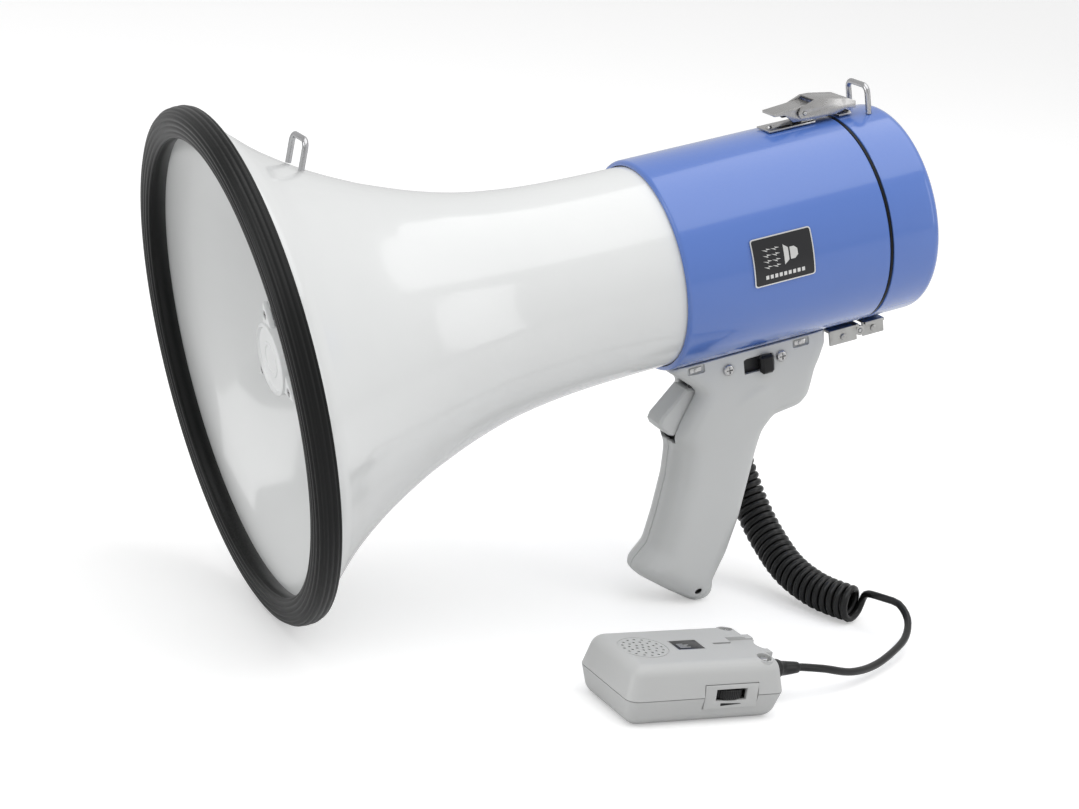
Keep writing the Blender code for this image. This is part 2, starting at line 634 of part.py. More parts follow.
def trigger():
    x, z = TRIGGER_PIVOT
    side = [
        (-0.2162, -0.0625), (-0.2022, -0.0735), (-0.2006, -0.0760), (-0.2014, -0.0788), (-0.2060, -0.0838),
        (-0.2090, -0.0836), (-0.2140, -0.0790), (-0.2240, -0.0710)] + arc((x, z), 0.0034, 250, 110, 4)
    finger = outline("trigger", side, -TRIGGER_HALF, TRIGGER_HALF, "grey_plastic", TRIGGER)
    round_edges(finger, 0.0012, 1, 50)
    cut(finger, pin_hole(x, z, 0.0017, TRIGGER, half=0.02))
    cut(finger, block("spring_slot", (x - 0.006, -0.0040, z - 0.0045), (x + 0.0042, 0.0040, z + 0.006), None,
                      TRIGGER))
    rod("trigger_pin", (x, -0.0136, z), (x, 0.0136, z), 0.0015, "bright_steel", MEGAPHONE)
    turns, per_turn = 4, 10
    coil = [(x + 0.0026 * cos(2 * pi * i / per_turn), -0.0034 + 0.0068 * i / (turns * per_turn),
             z + 0.0026 * sin(2 * pi * i / per_turn)) for i in range(turns * per_turn + 1)]
    wire("trigger_spring", coil, 0.0004, "bright_steel", MEGAPHONE, resolution=1)
    block("trigger_switch", (-0.2420, -0.0050, -0.0900), (-0.2290, 0.0050, -0.0790), "black_plastic",
          MEGAPHONE)


# ---------------------------------------------------------------- microphone
def mic_shell(name, low, high, base_inset, top_inset, open_top):
    """A tapered box, rounded, left open past the parting plane, thickened inwards and cut flat there."""
    half_x, half_y, spare = MIC_LENGTH / 2, MIC_WIDTH / 2, 0.0008
    edge = high if open_top else low
    low, high = (low, high + spare) if open_top else (low - spare, high)
    mesh = bpy.data.meshes.new(name)
    shape = bmesh.new()
    bmesh.ops.create_cube(shape, size=2.0)
    for vert in shape.verts:
        inset = top_inset if vert.co.z > 0 else base_inset
        vert.co = (vert.co.x * (half_x - inset), vert.co.y * (half_y - inset), high if vert.co.z > 0 else low)
    parting = high if open_top else low
    open_faces = [f for f in shape.faces if all(abs(v.co.z - parting) < 1e-6 for v in f.verts)]
    bmesh.ops.delete(shape, geom=open_faces, context="FACES_ONLY")
    edges = [e for e in shape.edges if len(e.link_faces) == 2]
    bmesh.ops.bevel(shape, geom=edges, offset=0.0050, offset_type="OFFSET", segments=3, profile=0.5,
                    affect="EDGES")
    shape.to_mesh(mesh)
    shape.free()
    obj = add(name, mesh, "grey_plastic", MICROPHONE)
    thick = obj.modifiers.new("Wall", "SOLIDIFY")
    thick.thickness, thick.offset, thick.use_even_offset = 0.0018, -1, True
    ends = (edge, edge + 0.010) if open_top else (edge - 0.010, edge)
    cut(obj, block("other_half", (-0.060, -0.040, ends[0]), (0.060, 0.040, ends[1]), None, MICROPHONE))
    return obj


def mic_shells():
    top = mic_shell("mic_shell_top", MIC_PARTING + GAP / 2, MIC_HEIGHT, 0, 0.0030, False)
    bottom = mic_shell("mic_shell_bottom", 0, MIC_PARTING - GAP / 2, 0.0030, 0, True)
    low, high = (-0.0020, 0, MIC_PARTING - 0.0052), (0.0240, MIC_WIDTH, MIC_PARTING + 0.0052)
    for shell in (top, bottom):
        cut(shell, block("frame_way", (low[0] - GAP, -MIC_WIDTH / 2 - 0.003, low[2] - GAP),
                         (high[0] + GAP, -MIC_WIDTH / 2 + 0.006, high[2] + GAP), None, MICROPHONE),
            block("key_way", (-0.0190, MIC_WIDTH / 2 - 0.006, MIC_PARTING - 0.0045),
                  (0.0130, MIC_WIDTH / 2 + 0.003, MIC_PARTING + 0.0045), None, MICROPHONE),
            rod("relief_way", (0.030, 0, MIC_PARTING + 0.001), (0.045, 0, MIC_PARTING + 0.001), 0.0036, None,
                MICROPHONE))
    cut(top, block("hanging_slot", (0.0200, -0.0008, 0.020), (0.0300, 0.0008, 0.030), None, MICROPHONE))
    for name, y in (("left", -0.0165), ("right", 0.0165)):
        x, face = 0.0290, MIC_HEIGHT
        join(top, rod("boss", (x, y, MIC_PARTING + 0.002), (x, y, face - 0.0010), 0.0036, None, MICROPHONE))
        cut(top, rod("recess", (x, y, face - 0.0022), (x, y, face + 0.002), 0.0026, None, MICROPHONE),
            rod("hole", (x, y, 0.0100), (x, y, face), 0.0014, None, MICROPHONE))
        screw = rod(f"mic_screw_{name}", (x, y, face - 0.0019), (x, y, face - 0.0008), 0.0022,
                    "bright_steel", MICROPHONE, 12, 0.0017)
        join(screw, rod("shank", (x, y, MIC_PARTING + 0.004), (x, y, face - 0.0015), 0.0011, None, MICROPHONE))


def mic_side_frame():
    """The insert round the volume wheel's window in the near long side."""
    face, thickness = -MIC_WIDTH / 2, 0.0024
    low, high = (-0.0020, face + 0.0004, MIC_PARTING - 0.0052), (0.0240, face + thickness, MIC_PARTING + 0.0052)
    frame = block("mic_side_frame", low, high, "grey_plastic", MICROPHONE)
    x, z = 0.0110, MIC_PARTING + 0.0008
    cut(frame, block("window", (x - 0.0075, face - 0.003, z - 0.0026), (x + 0.0075, face + 0.006, z + 0.0026),
                     None, MICROPHONE))
    wheel = rod("mic_volume_wheel", (0, 0, -0.0020), (0, 0, 0.0020), 0.0085, "black_plastic", WHEEL, 20)
    wheel.location = (0, 0, 0)


def mic_inside():
    face = MIC_WIDTH / 2
    key = block("mic_talk_key", (-0.0187, face - 0.0030, MIC_PARTING - 0.0042),
                (0.0127, face + 0.0026, MIC_PARTING + 0.0042), "black_plastic", MICROPHONE)
    round_edges(key, 0.0010, 1)
    board = block("mic_board", (-0.0200, -0.0060, 0.0055), (0.0200, 0.0170, 0.0071), "circuit_green", MICROPHONE)
    join(board, block("talk_switch", (-0.0060, 0.0110, 0.0068), (0.0020, 0.0168, 0.0135), None, MICROPHONE))
    rod("mic_capsule", (-0.0215, 0, 0.0170), (-0.0215, 0, 0.0240), 0.0049, "cell_wrap", MICROPHONE, 20)
    turned("mic_cord_relief", [(0.0590, 0), (0.0590, 0.0028), (0.0570, 0.0042), (0.0450, 0.0044),
                               (0.0388, 0.0044), (0.0388, 0.0033), (0.0345, 0.0033), (0.0345, 0)],
           "black_rubber", MICROPHONE, steps=16, closed=False, at=(0, 0, MIC_PARTING + 0.001))


# ---------------------------------------------------------------- cord
def cord():
    wire("cord_lead", smooth_route(LEAD_ROUTE, 0.0050), CORD_RADIUS, "black_rubber", WORLD)
    wire("cord_coil", smooth_route(COIL_ROUTE, 0.0100), COIL_RADIUS, "black_rubber", WORLD, resolution=4)
    wire("cord_tail", smooth_route(TAIL_ROUTE, 0.0085), CORD_RADIUS, "black_rubber", WORLD)


def nose_down():
    """The pitch at which the rim and the heel of the grip both touch a level surface."""
    rim_x, rim_z = RIM_EDGE[0], -(RIM_RADIUS - RIM_EDGE[1])
    across, down = rim_x - HEEL[0], rim_z - HEEL[1]
    return atan2(down, across) + asin((HEEL_RADIUS - RIM_EDGE[1]) / hypot(across, down))


clear_scene()
PARTS, CUTTERS = new_collection("megaphone"), new_collection("cutters")
PITCH = nose_down()
LIFT = (RIM_RADIUS - RIM_EDGE[1]) * cos(PITCH) + RIM_EDGE[0] * sin(PITCH) + RIM_EDGE[1]
GLAND = (-0.2500, -0.0920)
WORLD = new_empty("surface", (0, 0, 0))
MEGAPHONE = new_empty("megaphone_frame", (*PLACE, LIFT), turn=(0, PITCH, 0))
MICROPHONE = new_empty("microphone_frame", (*MIC_PLACE, 0), turn=(0, 0, MIC_TURN))
COVER = new_empty("cover_axis", (HINGE_AXIS[0], 0, HINGE_AXIS[1]), MEGAPHONE)
LEVER = new_empty("lever_axis", (LATCH_PIVOT[0], 0, LATCH_PIVOT[1]), MEGAPHONE)
HOOK = new_empty("hook_axis", (LINK_PIVOT[0], 0, LINK_PIVOT[1]), MEGAPHONE)
TRIGGER = new_empty("trigger_axis", (TRIGGER_PIVOT[0], 0, TRIGGER_PIVOT[1]), MEGAPHONE)
WHEEL = new_empty("wheel_axis", (0.0110, -0.0160, MIC_PARTING + 0.0008), MICROPHONE)

horn_bell()
rim_bumper()
throat_reflector()
inner_horn()
driver_housing()
driver()
strap_loop("front_strap_loop", -0.0460, 0.0822, radians(19), MEGAPHONE)
body_barrel()
seam_gasket()
rear_cover()
contact_plate()
battery_cells()
battery_sleeve()
amplifier_board()
label_plate()
strap_loop("rear_strap_loop", -0.3225, BODY_RADIUS, 0.0, COVER)
latch_base()
latch_lever()
latch_hook()
latch_catch()
hinge()
left_shell()
right_shell()
slide_switch()
trigger()
mic_shells()
mic_side_frame()
mic_inside()
cord()
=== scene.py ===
import math

import bpy
from mathutils import Matrix, Quaternion, Vector


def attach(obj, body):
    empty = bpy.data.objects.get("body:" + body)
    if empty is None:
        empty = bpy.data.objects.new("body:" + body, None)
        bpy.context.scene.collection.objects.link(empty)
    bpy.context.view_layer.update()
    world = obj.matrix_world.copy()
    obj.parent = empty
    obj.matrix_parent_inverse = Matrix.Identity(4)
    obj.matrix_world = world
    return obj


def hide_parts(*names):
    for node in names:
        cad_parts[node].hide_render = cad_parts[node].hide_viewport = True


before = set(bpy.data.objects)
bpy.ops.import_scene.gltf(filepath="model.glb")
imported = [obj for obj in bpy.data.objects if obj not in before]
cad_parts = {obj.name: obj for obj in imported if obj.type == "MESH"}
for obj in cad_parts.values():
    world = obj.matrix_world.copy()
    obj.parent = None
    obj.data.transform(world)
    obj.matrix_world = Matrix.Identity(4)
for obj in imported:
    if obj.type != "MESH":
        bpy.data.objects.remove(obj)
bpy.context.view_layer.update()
bpy.ops.object.select_all(action="DESELECT")
pi = math.pi

# How the level megaphone stands on its rim and heel, and where the microphone lies
stance = {"pitch": 0.26491017, "place": (0.15254, -0.0170, 0.1100457)}
handset = {"turn": math.radians(182), "place": (-0.0242, 0.1070, 0)}
levelToRow = Matrix.Translation(stance["place"]) @ Matrix.Rotation(stance["pitch"], 4, "Y")
handsetToRow = Matrix.Translation(handset["place"]) @ Matrix.Rotation(handset["turn"], 4, "Z")


# Helpers for shader nodes
def newGroup(name, **inputs):
    # both groups give out a colour, a roughness and a height
    group = bpy.data.node_groups.new(name, "ShaderNodeTree")
    kinds = {float: "NodeSocketFloat", 3: "NodeSocketVector", 4: "NodeSocketColor"}
    for label, value in inputs.items():
        kind = kinds[len(value) if isinstance(value, tuple) else float]
        group.interface.new_socket(label, in_out="INPUT", socket_type=kind).default_value = value
    for label, kind in (("Colour", 4), ("Roughness", float), ("Height", float)):
        group.interface.new_socket(label, in_out="OUTPUT", socket_type=kinds[kind])
    return group, group.nodes.new("NodeGroupInput").outputs, group.nodes.new("NodeGroupOutput").inputs


def addNode(tree, kind, settings=None, values=None, links=None):
    node = tree.nodes.new("ShaderNode" + kind)
    for key, value in (settings or {}).items():
        setattr(node, key, value)
    for key, value in (values or {}).items():
        node.inputs[key].default_value = value
    for key, source in (links or {}).items():
        tree.links.new(source, node.inputs[key])
    return node


def remap(tree, source, low, high, toLow, toHigh):
    values = {"From Min": low, "From Max": high, "To Min": toLow, "To Max": toHigh}
    return addNode(tree, "MapRange", values=values, links={"Value": source}).outputs["Result"]


def mixColours(tree, factor, first, second):
    node = addNode(tree, "Mix", {"data_type": "RGBA"})
    for key, source in ((0, factor), (6, first), (7, second)):
        if hasattr(source, "links"):
            tree.links.new(source, node.inputs[key])
        else:
            node.inputs[key].default_value = source
    return node.outputs[2]


# Camera, light and floor
view = {"place": (0.49364, 0.9732, 0.3927), "along": (-0.4317, -0.8642, -0.2585), "roll": 7.8, "lens": 83.4,
        "sensor": 36, "near": 0.02, "far": 20}
studio = {"surround": (1.0, 1.0, 1.0), "surroundStrength": 0.64, "floorTone": (0.78, 0.78, 0.78),
          "floorRoughness": 0.6, "floorGlow": 0.36, "floorSize": 14}
lamps = {
    "key": {"place": (-0.2, 0.30, 1.8), "aim": (-0.05, 0.0, 0.12), "power": 23, "width": 2.8, "height": 2.0},
    "side": {"place": (-1.3, 1.1, 0.7), "aim": (-0.08, 0.0, 0.12), "power": 2.5, "width": 0.5, "height": 1.2},
    "mouth": {"place": (1.6, 0.0, 0.5), "aim": (0.10, 0.0, 0.12), "power": 7, "width": 1.0, "height": 1.0},
}


def setCamera():
    along = Vector(view["along"]).normalized()
    cameraData = bpy.data.cameras.new("camera")
    cameraData.lens = view["lens"]
    cameraData.sensor_width = view["sensor"]
    cameraData.clip_start, cameraData.clip_end = view["near"], view["far"]
    camera = bpy.data.objects.new("camera", cameraData)
    bpy.context.scene.collection.objects.link(camera)
    camera.location = view["place"]
    camera.rotation_mode = "QUATERNION"
    roll = Quaternion((0, 0, 1), math.radians(view["roll"]))
    camera.rotation_quaternion = along.to_track_quat("-Z", "Y") @ roll
    bpy.context.scene.camera = camera


def setStudio():
    world = bpy.data.worlds.new("studio")
    bpy.context.scene.world = world
    world.use_nodes = True
    background = world.node_tree.nodes["Background"]
    background.inputs["Color"].default_value = (*studio["surround"], 1)
    background.inputs["Strength"].default_value = studio["surroundStrength"]
    for name, lamp in lamps.items():
        light = bpy.data.lights.new(name, "AREA")
        light.shape = "RECTANGLE"
        light.size, light.size_y, light.energy = lamp["width"], lamp["height"], lamp["power"]
        holder = bpy.data.objects.new(name + "Lamp", light)
        bpy.context.scene.collection.objects.link(holder)
        holder.location = lamp["place"]
        aim = Vector(lamp["aim"]) - Vector(lamp["place"])
        holder.rotation_mode = "QUATERNION"
        holder.rotation_quaternion = aim.to_track_quat("-Z", "Y")
    bpy.ops.mesh.primitive_plane_add(size=studio["floorSize"], location=(0, 0, -0.0002))
    floor = bpy.context.object
    floor.name = "floor"
    finish = bpy.data.materials.new("paleFloor")
    finish.use_nodes = True
    shader = finish.node_tree.nodes["Principled BSDF"]
    shader.inputs["Base Color"].default_value = (*studio["floorTone"], 1)
    shader.inputs["Roughness"].default_value = studio["floorRoughness"]
    shader.inputs["Emission Color"].default_value = (1, 1, 1, 1)
    sight = addNode(finish.node_tree, "LightPath")
    glow = addNode(finish.node_tree, "Math", {"operation": "MULTIPLY"}, {1: studio["floorGlow"]},
                   {0: sight.outputs["Is Camera Ray"]})
    finish.node_tree.links.new(glow.outputs[0], shader.inputs["Emission Strength"])
    floor.data.materials.append(finish)
    bpy.context.scene.view_settings.view_transform = "Standard"
    floor.select_set(False)


setCamera()
setStudio()
print("camera, light and floor are set")


def mouldedSkin():
    # moulded plastic: cloudy tone, fine grain, faint scuffs, and dust on what faces up
    group, given, out = newGroup("mouldedSkin", Colour=(0.5, 0.5, 0.5, 1), Shade=(0.4, 0.4, 0.4, 1),
                                 Grain=900.0, Gloss=0.3, Dust=0.1)
    where = addNode(group, "TexCoord").outputs["Object"]
    cloud = addNode(group, "TexNoise", values={"Scale": 14.0, "Detail": 3.0}, links={"Vector": where})
    grain = addNode(group, "TexNoise", values={"Detail": 2.0},
                    links={"Vector": where, "Scale": given["Grain"]})
    stretched = addNode(group, "Mapping", values={"Scale": (1, 9, 2), "Rotation": (0.3, 0.5, 0.2)},
                        links={"Vector": where})
    scuff = addNode(group, "TexNoise", values={"Scale": 60.0, "Detail": 6.0, "Roughness": 0.7},
                    links={"Vector": stretched.outputs["Vector"]})
    scuffs = remap(group, scuff.outputs["Fac"], 0.62, 0.80, 0.0, 1.0)
    tone = mixColours(group, remap(group, cloud.outputs["Fac"], 0.35, 0.70, 0.0, 1.0), given["Colour"],
                      given["Shade"])
    upward = addNode(group, "SeparateXYZ", links={"Vector": addNode(group, "NewGeometry").outputs["Normal"]})
    settled = addNode(group, "Math", {"operation": "MULTIPLY"},
                      links={0: remap(group, upward.outputs["Z"], 0.5, 1.0, 0.0, 1.0), 1: given["Dust"]})
    coarse = remap(group, grain.outputs["Fac"], 0.40, 0.65, 0.0, 1.0)
    speckle = addNode(group, "Math", {"operation": "MULTIPLY"}, links={0: settled.outputs[0], 1: coarse})
    dusty = mixColours(group, speckle.outputs[0], tone, (0.62, 0.60, 0.57, 1))
    rough = addNode(group, "Math", {"operation": "MULTIPLY_ADD"}, {1: 0.10}, {0: scuffs, 2: given["Gloss"]})
    rougher = addNode(group, "Math", {"operation": "MULTIPLY_ADD"}, {1: 0.25},
                      {0: speckle.outputs[0], 2: rough.outputs[0]})
    height = addNode(group, "Math", {"operation": "MULTIPLY_ADD"}, {1: -0.3},
                     {0: scuffs, 2: grain.outputs["Fac"]})
    group.links.new(dusty, out["Colour"])
    group.links.new(rougher.outputs[0], out["Roughness"])
    group.links.new(height.outputs[0], out["Height"])
    return group


def drawnSteel():
    # rolled or drawn steel: fine lines one way, with handling marks
    group, given, out = newGroup("drawnSteel", Colour=(0.6, 0.6, 0.6, 1), Lines=(60, 2500, 2500),
                                 Gloss=0.25, Marks=0.2)
    where = addNode(group, "TexCoord").outputs["Object"]
    tipped = addNode(group, "Mapping", values={"Rotation": (0, -stance["pitch"], 0)}, links={"Vector": where})
    lined = addNode(group, "VectorMath", {"operation": "MULTIPLY"},
                    links={0: tipped.outputs["Vector"], 1: given["Lines"]})
    lines = addNode(group, "TexNoise", values={"Scale": 1.0, "Detail": 2.0},
                    links={"Vector": lined.outputs[0]})
    smudge = addNode(group, "TexNoise", values={"Scale": 220.0, "Detail": 4.0}, links={"Vector": where})
    marks = addNode(group, "Math", {"operation": "MULTIPLY"},
                    links={0: remap(group, smudge.outputs["Fac"], 0.45, 0.75, 0.0, 1.0), 1: given["Marks"]})
    darker = mixColours(group, marks.outputs[0], given["Colour"], (0.30, 0.29, 0.28, 1))
    fine = addNode(group, "Math", {"operation": "MULTIPLY_ADD"}, {1: 0.18},
                   {0: lines.outputs["Fac"], 2: given["Gloss"]})
    rough = addNode(group, "Math", {"operation": "ADD"}, links={0: fine.outputs[0], 1: marks.outputs[0]})
    group.links.new(darker, out["Colour"])
    group.links.new(rough.outputs[0], out["Roughness"])
    group.links.new(lines.outputs["Fac"], out["Height"])
    return group


skinGroup = mouldedSkin()
steelGroup = drawnSteel()


def finishOf(name, group, colour, values, bumpStrength, bumpDistance, coat=0.0, metallic=0.0, shine=0.5):
    finish = bpy.data.materials.new(name)
    finish.use_nodes = True
    tree = finish.node_tree
    shader = tree.nodes["Principled BSDF"]
    surface = addNode(tree, "Group", {"node_tree": group}, {"Colour": (*colour, 1), **values})
    bump = addNode(tree, "Bump", values={"Strength": bumpStrength, "Distance": bumpDistance},
                   links={"Height": surface.outputs["Height"]})
    tree.links.new(surface.outputs["Colour"], shader.inputs["Base Color"])
    tree.links.new(surface.outputs["Roughness"], shader.inputs["Roughness"])
    tree.links.new(bump.outputs["Normal"], shader.inputs["Normal"])
    for key, value in (("Metallic", metallic), ("Specular IOR Level", shine), ("Coat Weight", coat),
                       ("Coat Roughness", 0.06)):
        shader.inputs[key].default_value = value
    return finish


def plasticFinish(name, colour, shade, gloss, grain, dust, bump, coat, shine):
    values = {"Shade": (*shade, 1), "Grain": grain, "Gloss": gloss, "Dust": dust}
    return finishOf(name, skinGroup, colour, values, bump, 0.0002, coat, shine=shine)


def steelFinish(name, colour, lines, gloss, marks, bump):
    values = {"Lines": lines, "Gloss": gloss, "Marks": marks}
    return finishOf(name, steelGroup, colour, values, bump, 0.0001, metallic=1.0)


plastics = {  # colour, shade, gloss, grain, dust, bump, coat, shine
    "hornWhite": ((0.745, 0.755, 0.752), (0.720, 0.730, 0.728), 0.16, 700, 0.02, 0.02, 0.5, 0.5),
    "driverWhite": ((0.74, 0.75, 0.75), (0.71, 0.72, 0.72), 0.30, 900, 0.02, 0.05, 0.0, 0.5),
    "shellBlue": ((0.090, 0.185, 0.540), (0.084, 0.176, 0.522), 0.20, 700, 0.01, 0.03, 0.6, 0.5),
    "gripGrey": ((0.590, 0.600, 0.597), (0.565, 0.575, 0.572), 0.32, 1500, 0.02, 0.10, 0.0, 0.5),
    "handsetGrey": ((0.490, 0.495, 0.492), (0.465, 0.470, 0.468), 0.42, 1800, 0.04, 0.18, 0.0, 0.5),
    "rimBlack": ((0.005, 0.0055, 0.0055), (0.008, 0.0085, 0.0085), 0.34, 1200, 0.02, 0.08, 0.0, 0.20),
    "cordBlack": ((0.005, 0.0055, 0.006), (0.008, 0.008, 0.008), 0.28, 1500, 0.02, 0.06, 0.0, 0.35),
    "knobBlack": ((0.006, 0.006, 0.0065), (0.009, 0.009, 0.0095), 0.36, 1600, 0.05, 0.12, 0.0, 0.3),
    "labelBlack": ((0.010, 0.010, 0.012), (0.014, 0.014, 0.016), 0.28, 900, 0.05, 0.04, 0.0, 0.5),
    "boardGreen": ((0.030, 0.150, 0.060), (0.022, 0.110, 0.045), 0.38, 1100, 0.08, 0.10, 0.0, 0.5),
    "sleeveBlack": ((0.020, 0.020, 0.022), (0.030, 0.030, 0.032), 0.50, 800, 0.15, 0.15, 0.0, 0.5),
    "cellWrap": ((0.045, 0.050, 0.090), (0.060, 0.065, 0.100), 0.26, 900, 0.05, 0.04, 0.3, 0.5),
}
steels = {  # colour, lines, gloss, marks, bump
    "loopChrome": ((0.50, 0.50, 0.51), (900, 900, 60), 0.10, 0.15, 0.02),
    "latchSteel": ((0.47, 0.465, 0.46), (2500, 60, 2500), 0.16, 0.16, 0.08),
    "hingeSteel": ((0.46, 0.46, 0.45), (60, 2500, 2500), 0.22, 0.22, 0.10),
    "screwSteel": ((0.55, 0.55, 0.55), (1500, 1500, 200), 0.16, 0.14, 0.05),
    "labelSilver": ((0.74, 0.74, 0.73), (60, 1800, 1800), 0.26, 0.04, 0.03),
    "magnetGrey": ((0.10, 0.10, 0.11), (400, 400, 400), 0.40, 0.30, 0.15),
}
finishes = {name: plasticFinish(name, *values) for name, values in plastics.items()}
finishes.update({name: steelFinish(name, *values) for name, values in steels.items()})
print("finishes are mixed")


# Modelling helpers
def pick(piece):
    bpy.ops.object.select_all(action="DESELECT")
    piece.select_set(True)
    bpy.context.view_layer.objects.active = piece


def openMesh():
    bpy.ops.object.mode_set(mode="EDIT")
    bpy.ops.mesh.select_all(action="SELECT")


def closeMesh():
    bpy.ops.object.mode_set(mode="OBJECT")


def settle(piece, where):
    piece.matrix_world = where
    pick(piece)
    bpy.ops.object.transform_apply(location=True, rotation=True, scale=True)


def applyAll(piece):
    pick(piece)
    for modifier in list(piece.modifiers):
        bpy.ops.object.modifier_apply(modifier=modifier.name)


def handOver(piece, finish, slot, *nodes, body="megaphone", angle=35):
    # the last step of every piece: finish, shading, what it rides on and what it stands for
    piece.data.materials.clear()
    piece.data.materials.append(finishes[finish])
    if piece.type == "MESH":
        pick(piece)
        bpy.ops.object.shade_smooth_by_angle(angle=math.radians(angle))
    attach(piece, body)
    if nodes:
        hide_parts(*nodes)
    piece.select_set(False)


def layInRow(piece, *what, **how):
    # for a piece that was made round the level megaphone's own axis
    settle(piece, levelToRow)
    handOver(piece, *what, **how)


def curveThrough(points, perSpan):
    # more points on the smooth curve through some
    points = [Vector(p) for p in points]
    padded = [2 * points[0] - points[1]] + points + [2 * points[-1] - points[-2]]
    line = []
    for a, b, c, d in zip(padded, padded[1:], padded[2:], padded[3:]):
        for step in range(perSpan):
            t = step / perSpan
            line.append(0.5 * (2 * b + (c - a) * t + (2 * a - 5 * b + 4 * c - d) * t * t
                               + (3 * b - a - 3 * c + d) * t ** 3))
    return line + [points[-1]]


def arcPoints(centre, radius, start, end, count):
    angles = [math.radians(start + (end - start) * i / (count - 1)) for i in range(count)]
    return [(centre[0] + radius * math.cos(a), centre[1] + radius * math.sin(a)) for a in angles]


def spunShape(name, profile, steps, closed=True):
    # a line of (x, radius) points is drawn by extruding one vertex, then spun round the X axis
    bpy.ops.mesh.primitive_plane_add(size=0.002, location=(0, 0, 0))
    piece = bpy.context.object
    piece.name = name
    openMesh()
    bpy.ops.mesh.merge(type="CENTER")
    bpy.ops.transform.translate(value=(profile[0][0], 0, profile[0][1]))
    line = list(profile) + ([profile[0]] if closed else [])
    for here, there in zip(line, line[1:]):
        move = (there[0] - here[0], 0, there[1] - here[1])
        bpy.ops.mesh.extrude_vertices_move(TRANSFORM_OT_translate={"value": move})
    bpy.ops.mesh.select_all(action="SELECT")
    bpy.ops.mesh.spin(steps=steps, angle=2 * pi, center=(0, 0, 0), axis=(1, 0, 0))
    bpy.ops.mesh.select_all(action="SELECT")
    bpy.ops.mesh.remove_doubles(threshold=0.000004)
    bpy.ops.mesh.normals_make_consistent(inside=False)
    closeMesh()
    return piece


def blockShape(name, low, high):
    low, high = Vector(low), Vector(high)
    bpy.ops.mesh.primitive_cube_add(size=1, location=(low + high) / 2)
    piece = bpy.context.object
    piece.name = name
    piece.scale = high - low
    pick(piece)
    bpy.ops.object.transform_apply(location=True, rotation=True, scale=True)
    return piece


def rodShape(name, start, end, radius, sides):
    start, end = Vector(start), Vector(end)
    turn = (end - start).to_track_quat("Z", "Y").to_euler()
    bpy.ops.mesh.primitive_cylinder_add(vertices=sides, radius=radius, depth=(end - start).length,
                                        location=(start + end) / 2, rotation=turn)
    piece = bpy.context.object
    piece.name = name
    pick(piece)
    bpy.ops.object.transform_apply(location=True, rotation=True, scale=True)
    return piece


def combine(piece, other, operation):
    modifier = piece.modifiers.new("combine", "BOOLEAN")
    modifier.operation, modifier.solver, modifier.object = operation, "EXACT", other
    applyAll(piece)
    bpy.data.objects.remove(other, do_unlink=True)


def carve(piece, *cutters):
    for cutter in cutters:
        combine(piece, cutter, "DIFFERENCE")


def weld(piece, *others):
    for other in others:
        combine(piece, other, "UNION")


def joinUp(name, pieces):
    bpy.ops.object.select_all(action="DESELECT")
    for piece in pieces:
        piece.select_set(True)
    bpy.context.view_layer.objects.active = pieces[0]
    bpy.ops.object.join()
    pieces[0].name = name
    return pieces[0]


def roundOff(piece, width, segments=3, angle=35):
    modifier = piece.modifiers.new("round", "BEVEL")
    modifier.width, modifier.segments = width, segments
    modifier.limit_method, modifier.angle_limit = "ANGLE", math.radians(angle)
    modifier.use_clamp_overlap = True
    applyAll(piece)


def refined(name, node, width=0.0003, segments=2, angle=30):
    # a CAD piece's own shape, welded, with its flat faces whole again and its edges eased
    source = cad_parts[node]
    piece = source.copy()
    piece.data = source.data.copy()
    for key in list(piece.keys()):
        if key.startswith("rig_"):
            del piece[key]
    piece.parent = None
    piece.name = name
    bpy.context.scene.collection.objects.link(piece)
    piece.data.materials.clear()
    pick(piece)
    openMesh()
    bpy.ops.mesh.remove_doubles(threshold=0.000002)
    bpy.ops.mesh.dissolve_limited(angle_limit=math.radians(1.0))
    closeMesh()
    if piece.data.has_custom_normals:
        bpy.ops.mesh.customdata_custom_splitnormals_clear()
    if width:
        roundOff(piece, width, segments, angle)
    return piece


def wireShape(name, points, radius, sides):
    line = bpy.data.curves.new(name, "CURVE")
    line.dimensions = "3D"
    line.bevel_depth = radius
    line.bevel_resolution = sides
    line.use_fill_caps = True
    spline = line.splines.new("POLY")
    spline.points.add(len(points) - 1)
    for point, place in zip(spline.points, points):
        point.co = (*place, 1)
    piece = bpy.data.objects.new(name, line)
    bpy.context.scene.collection.objects.link(piece)
    return piece


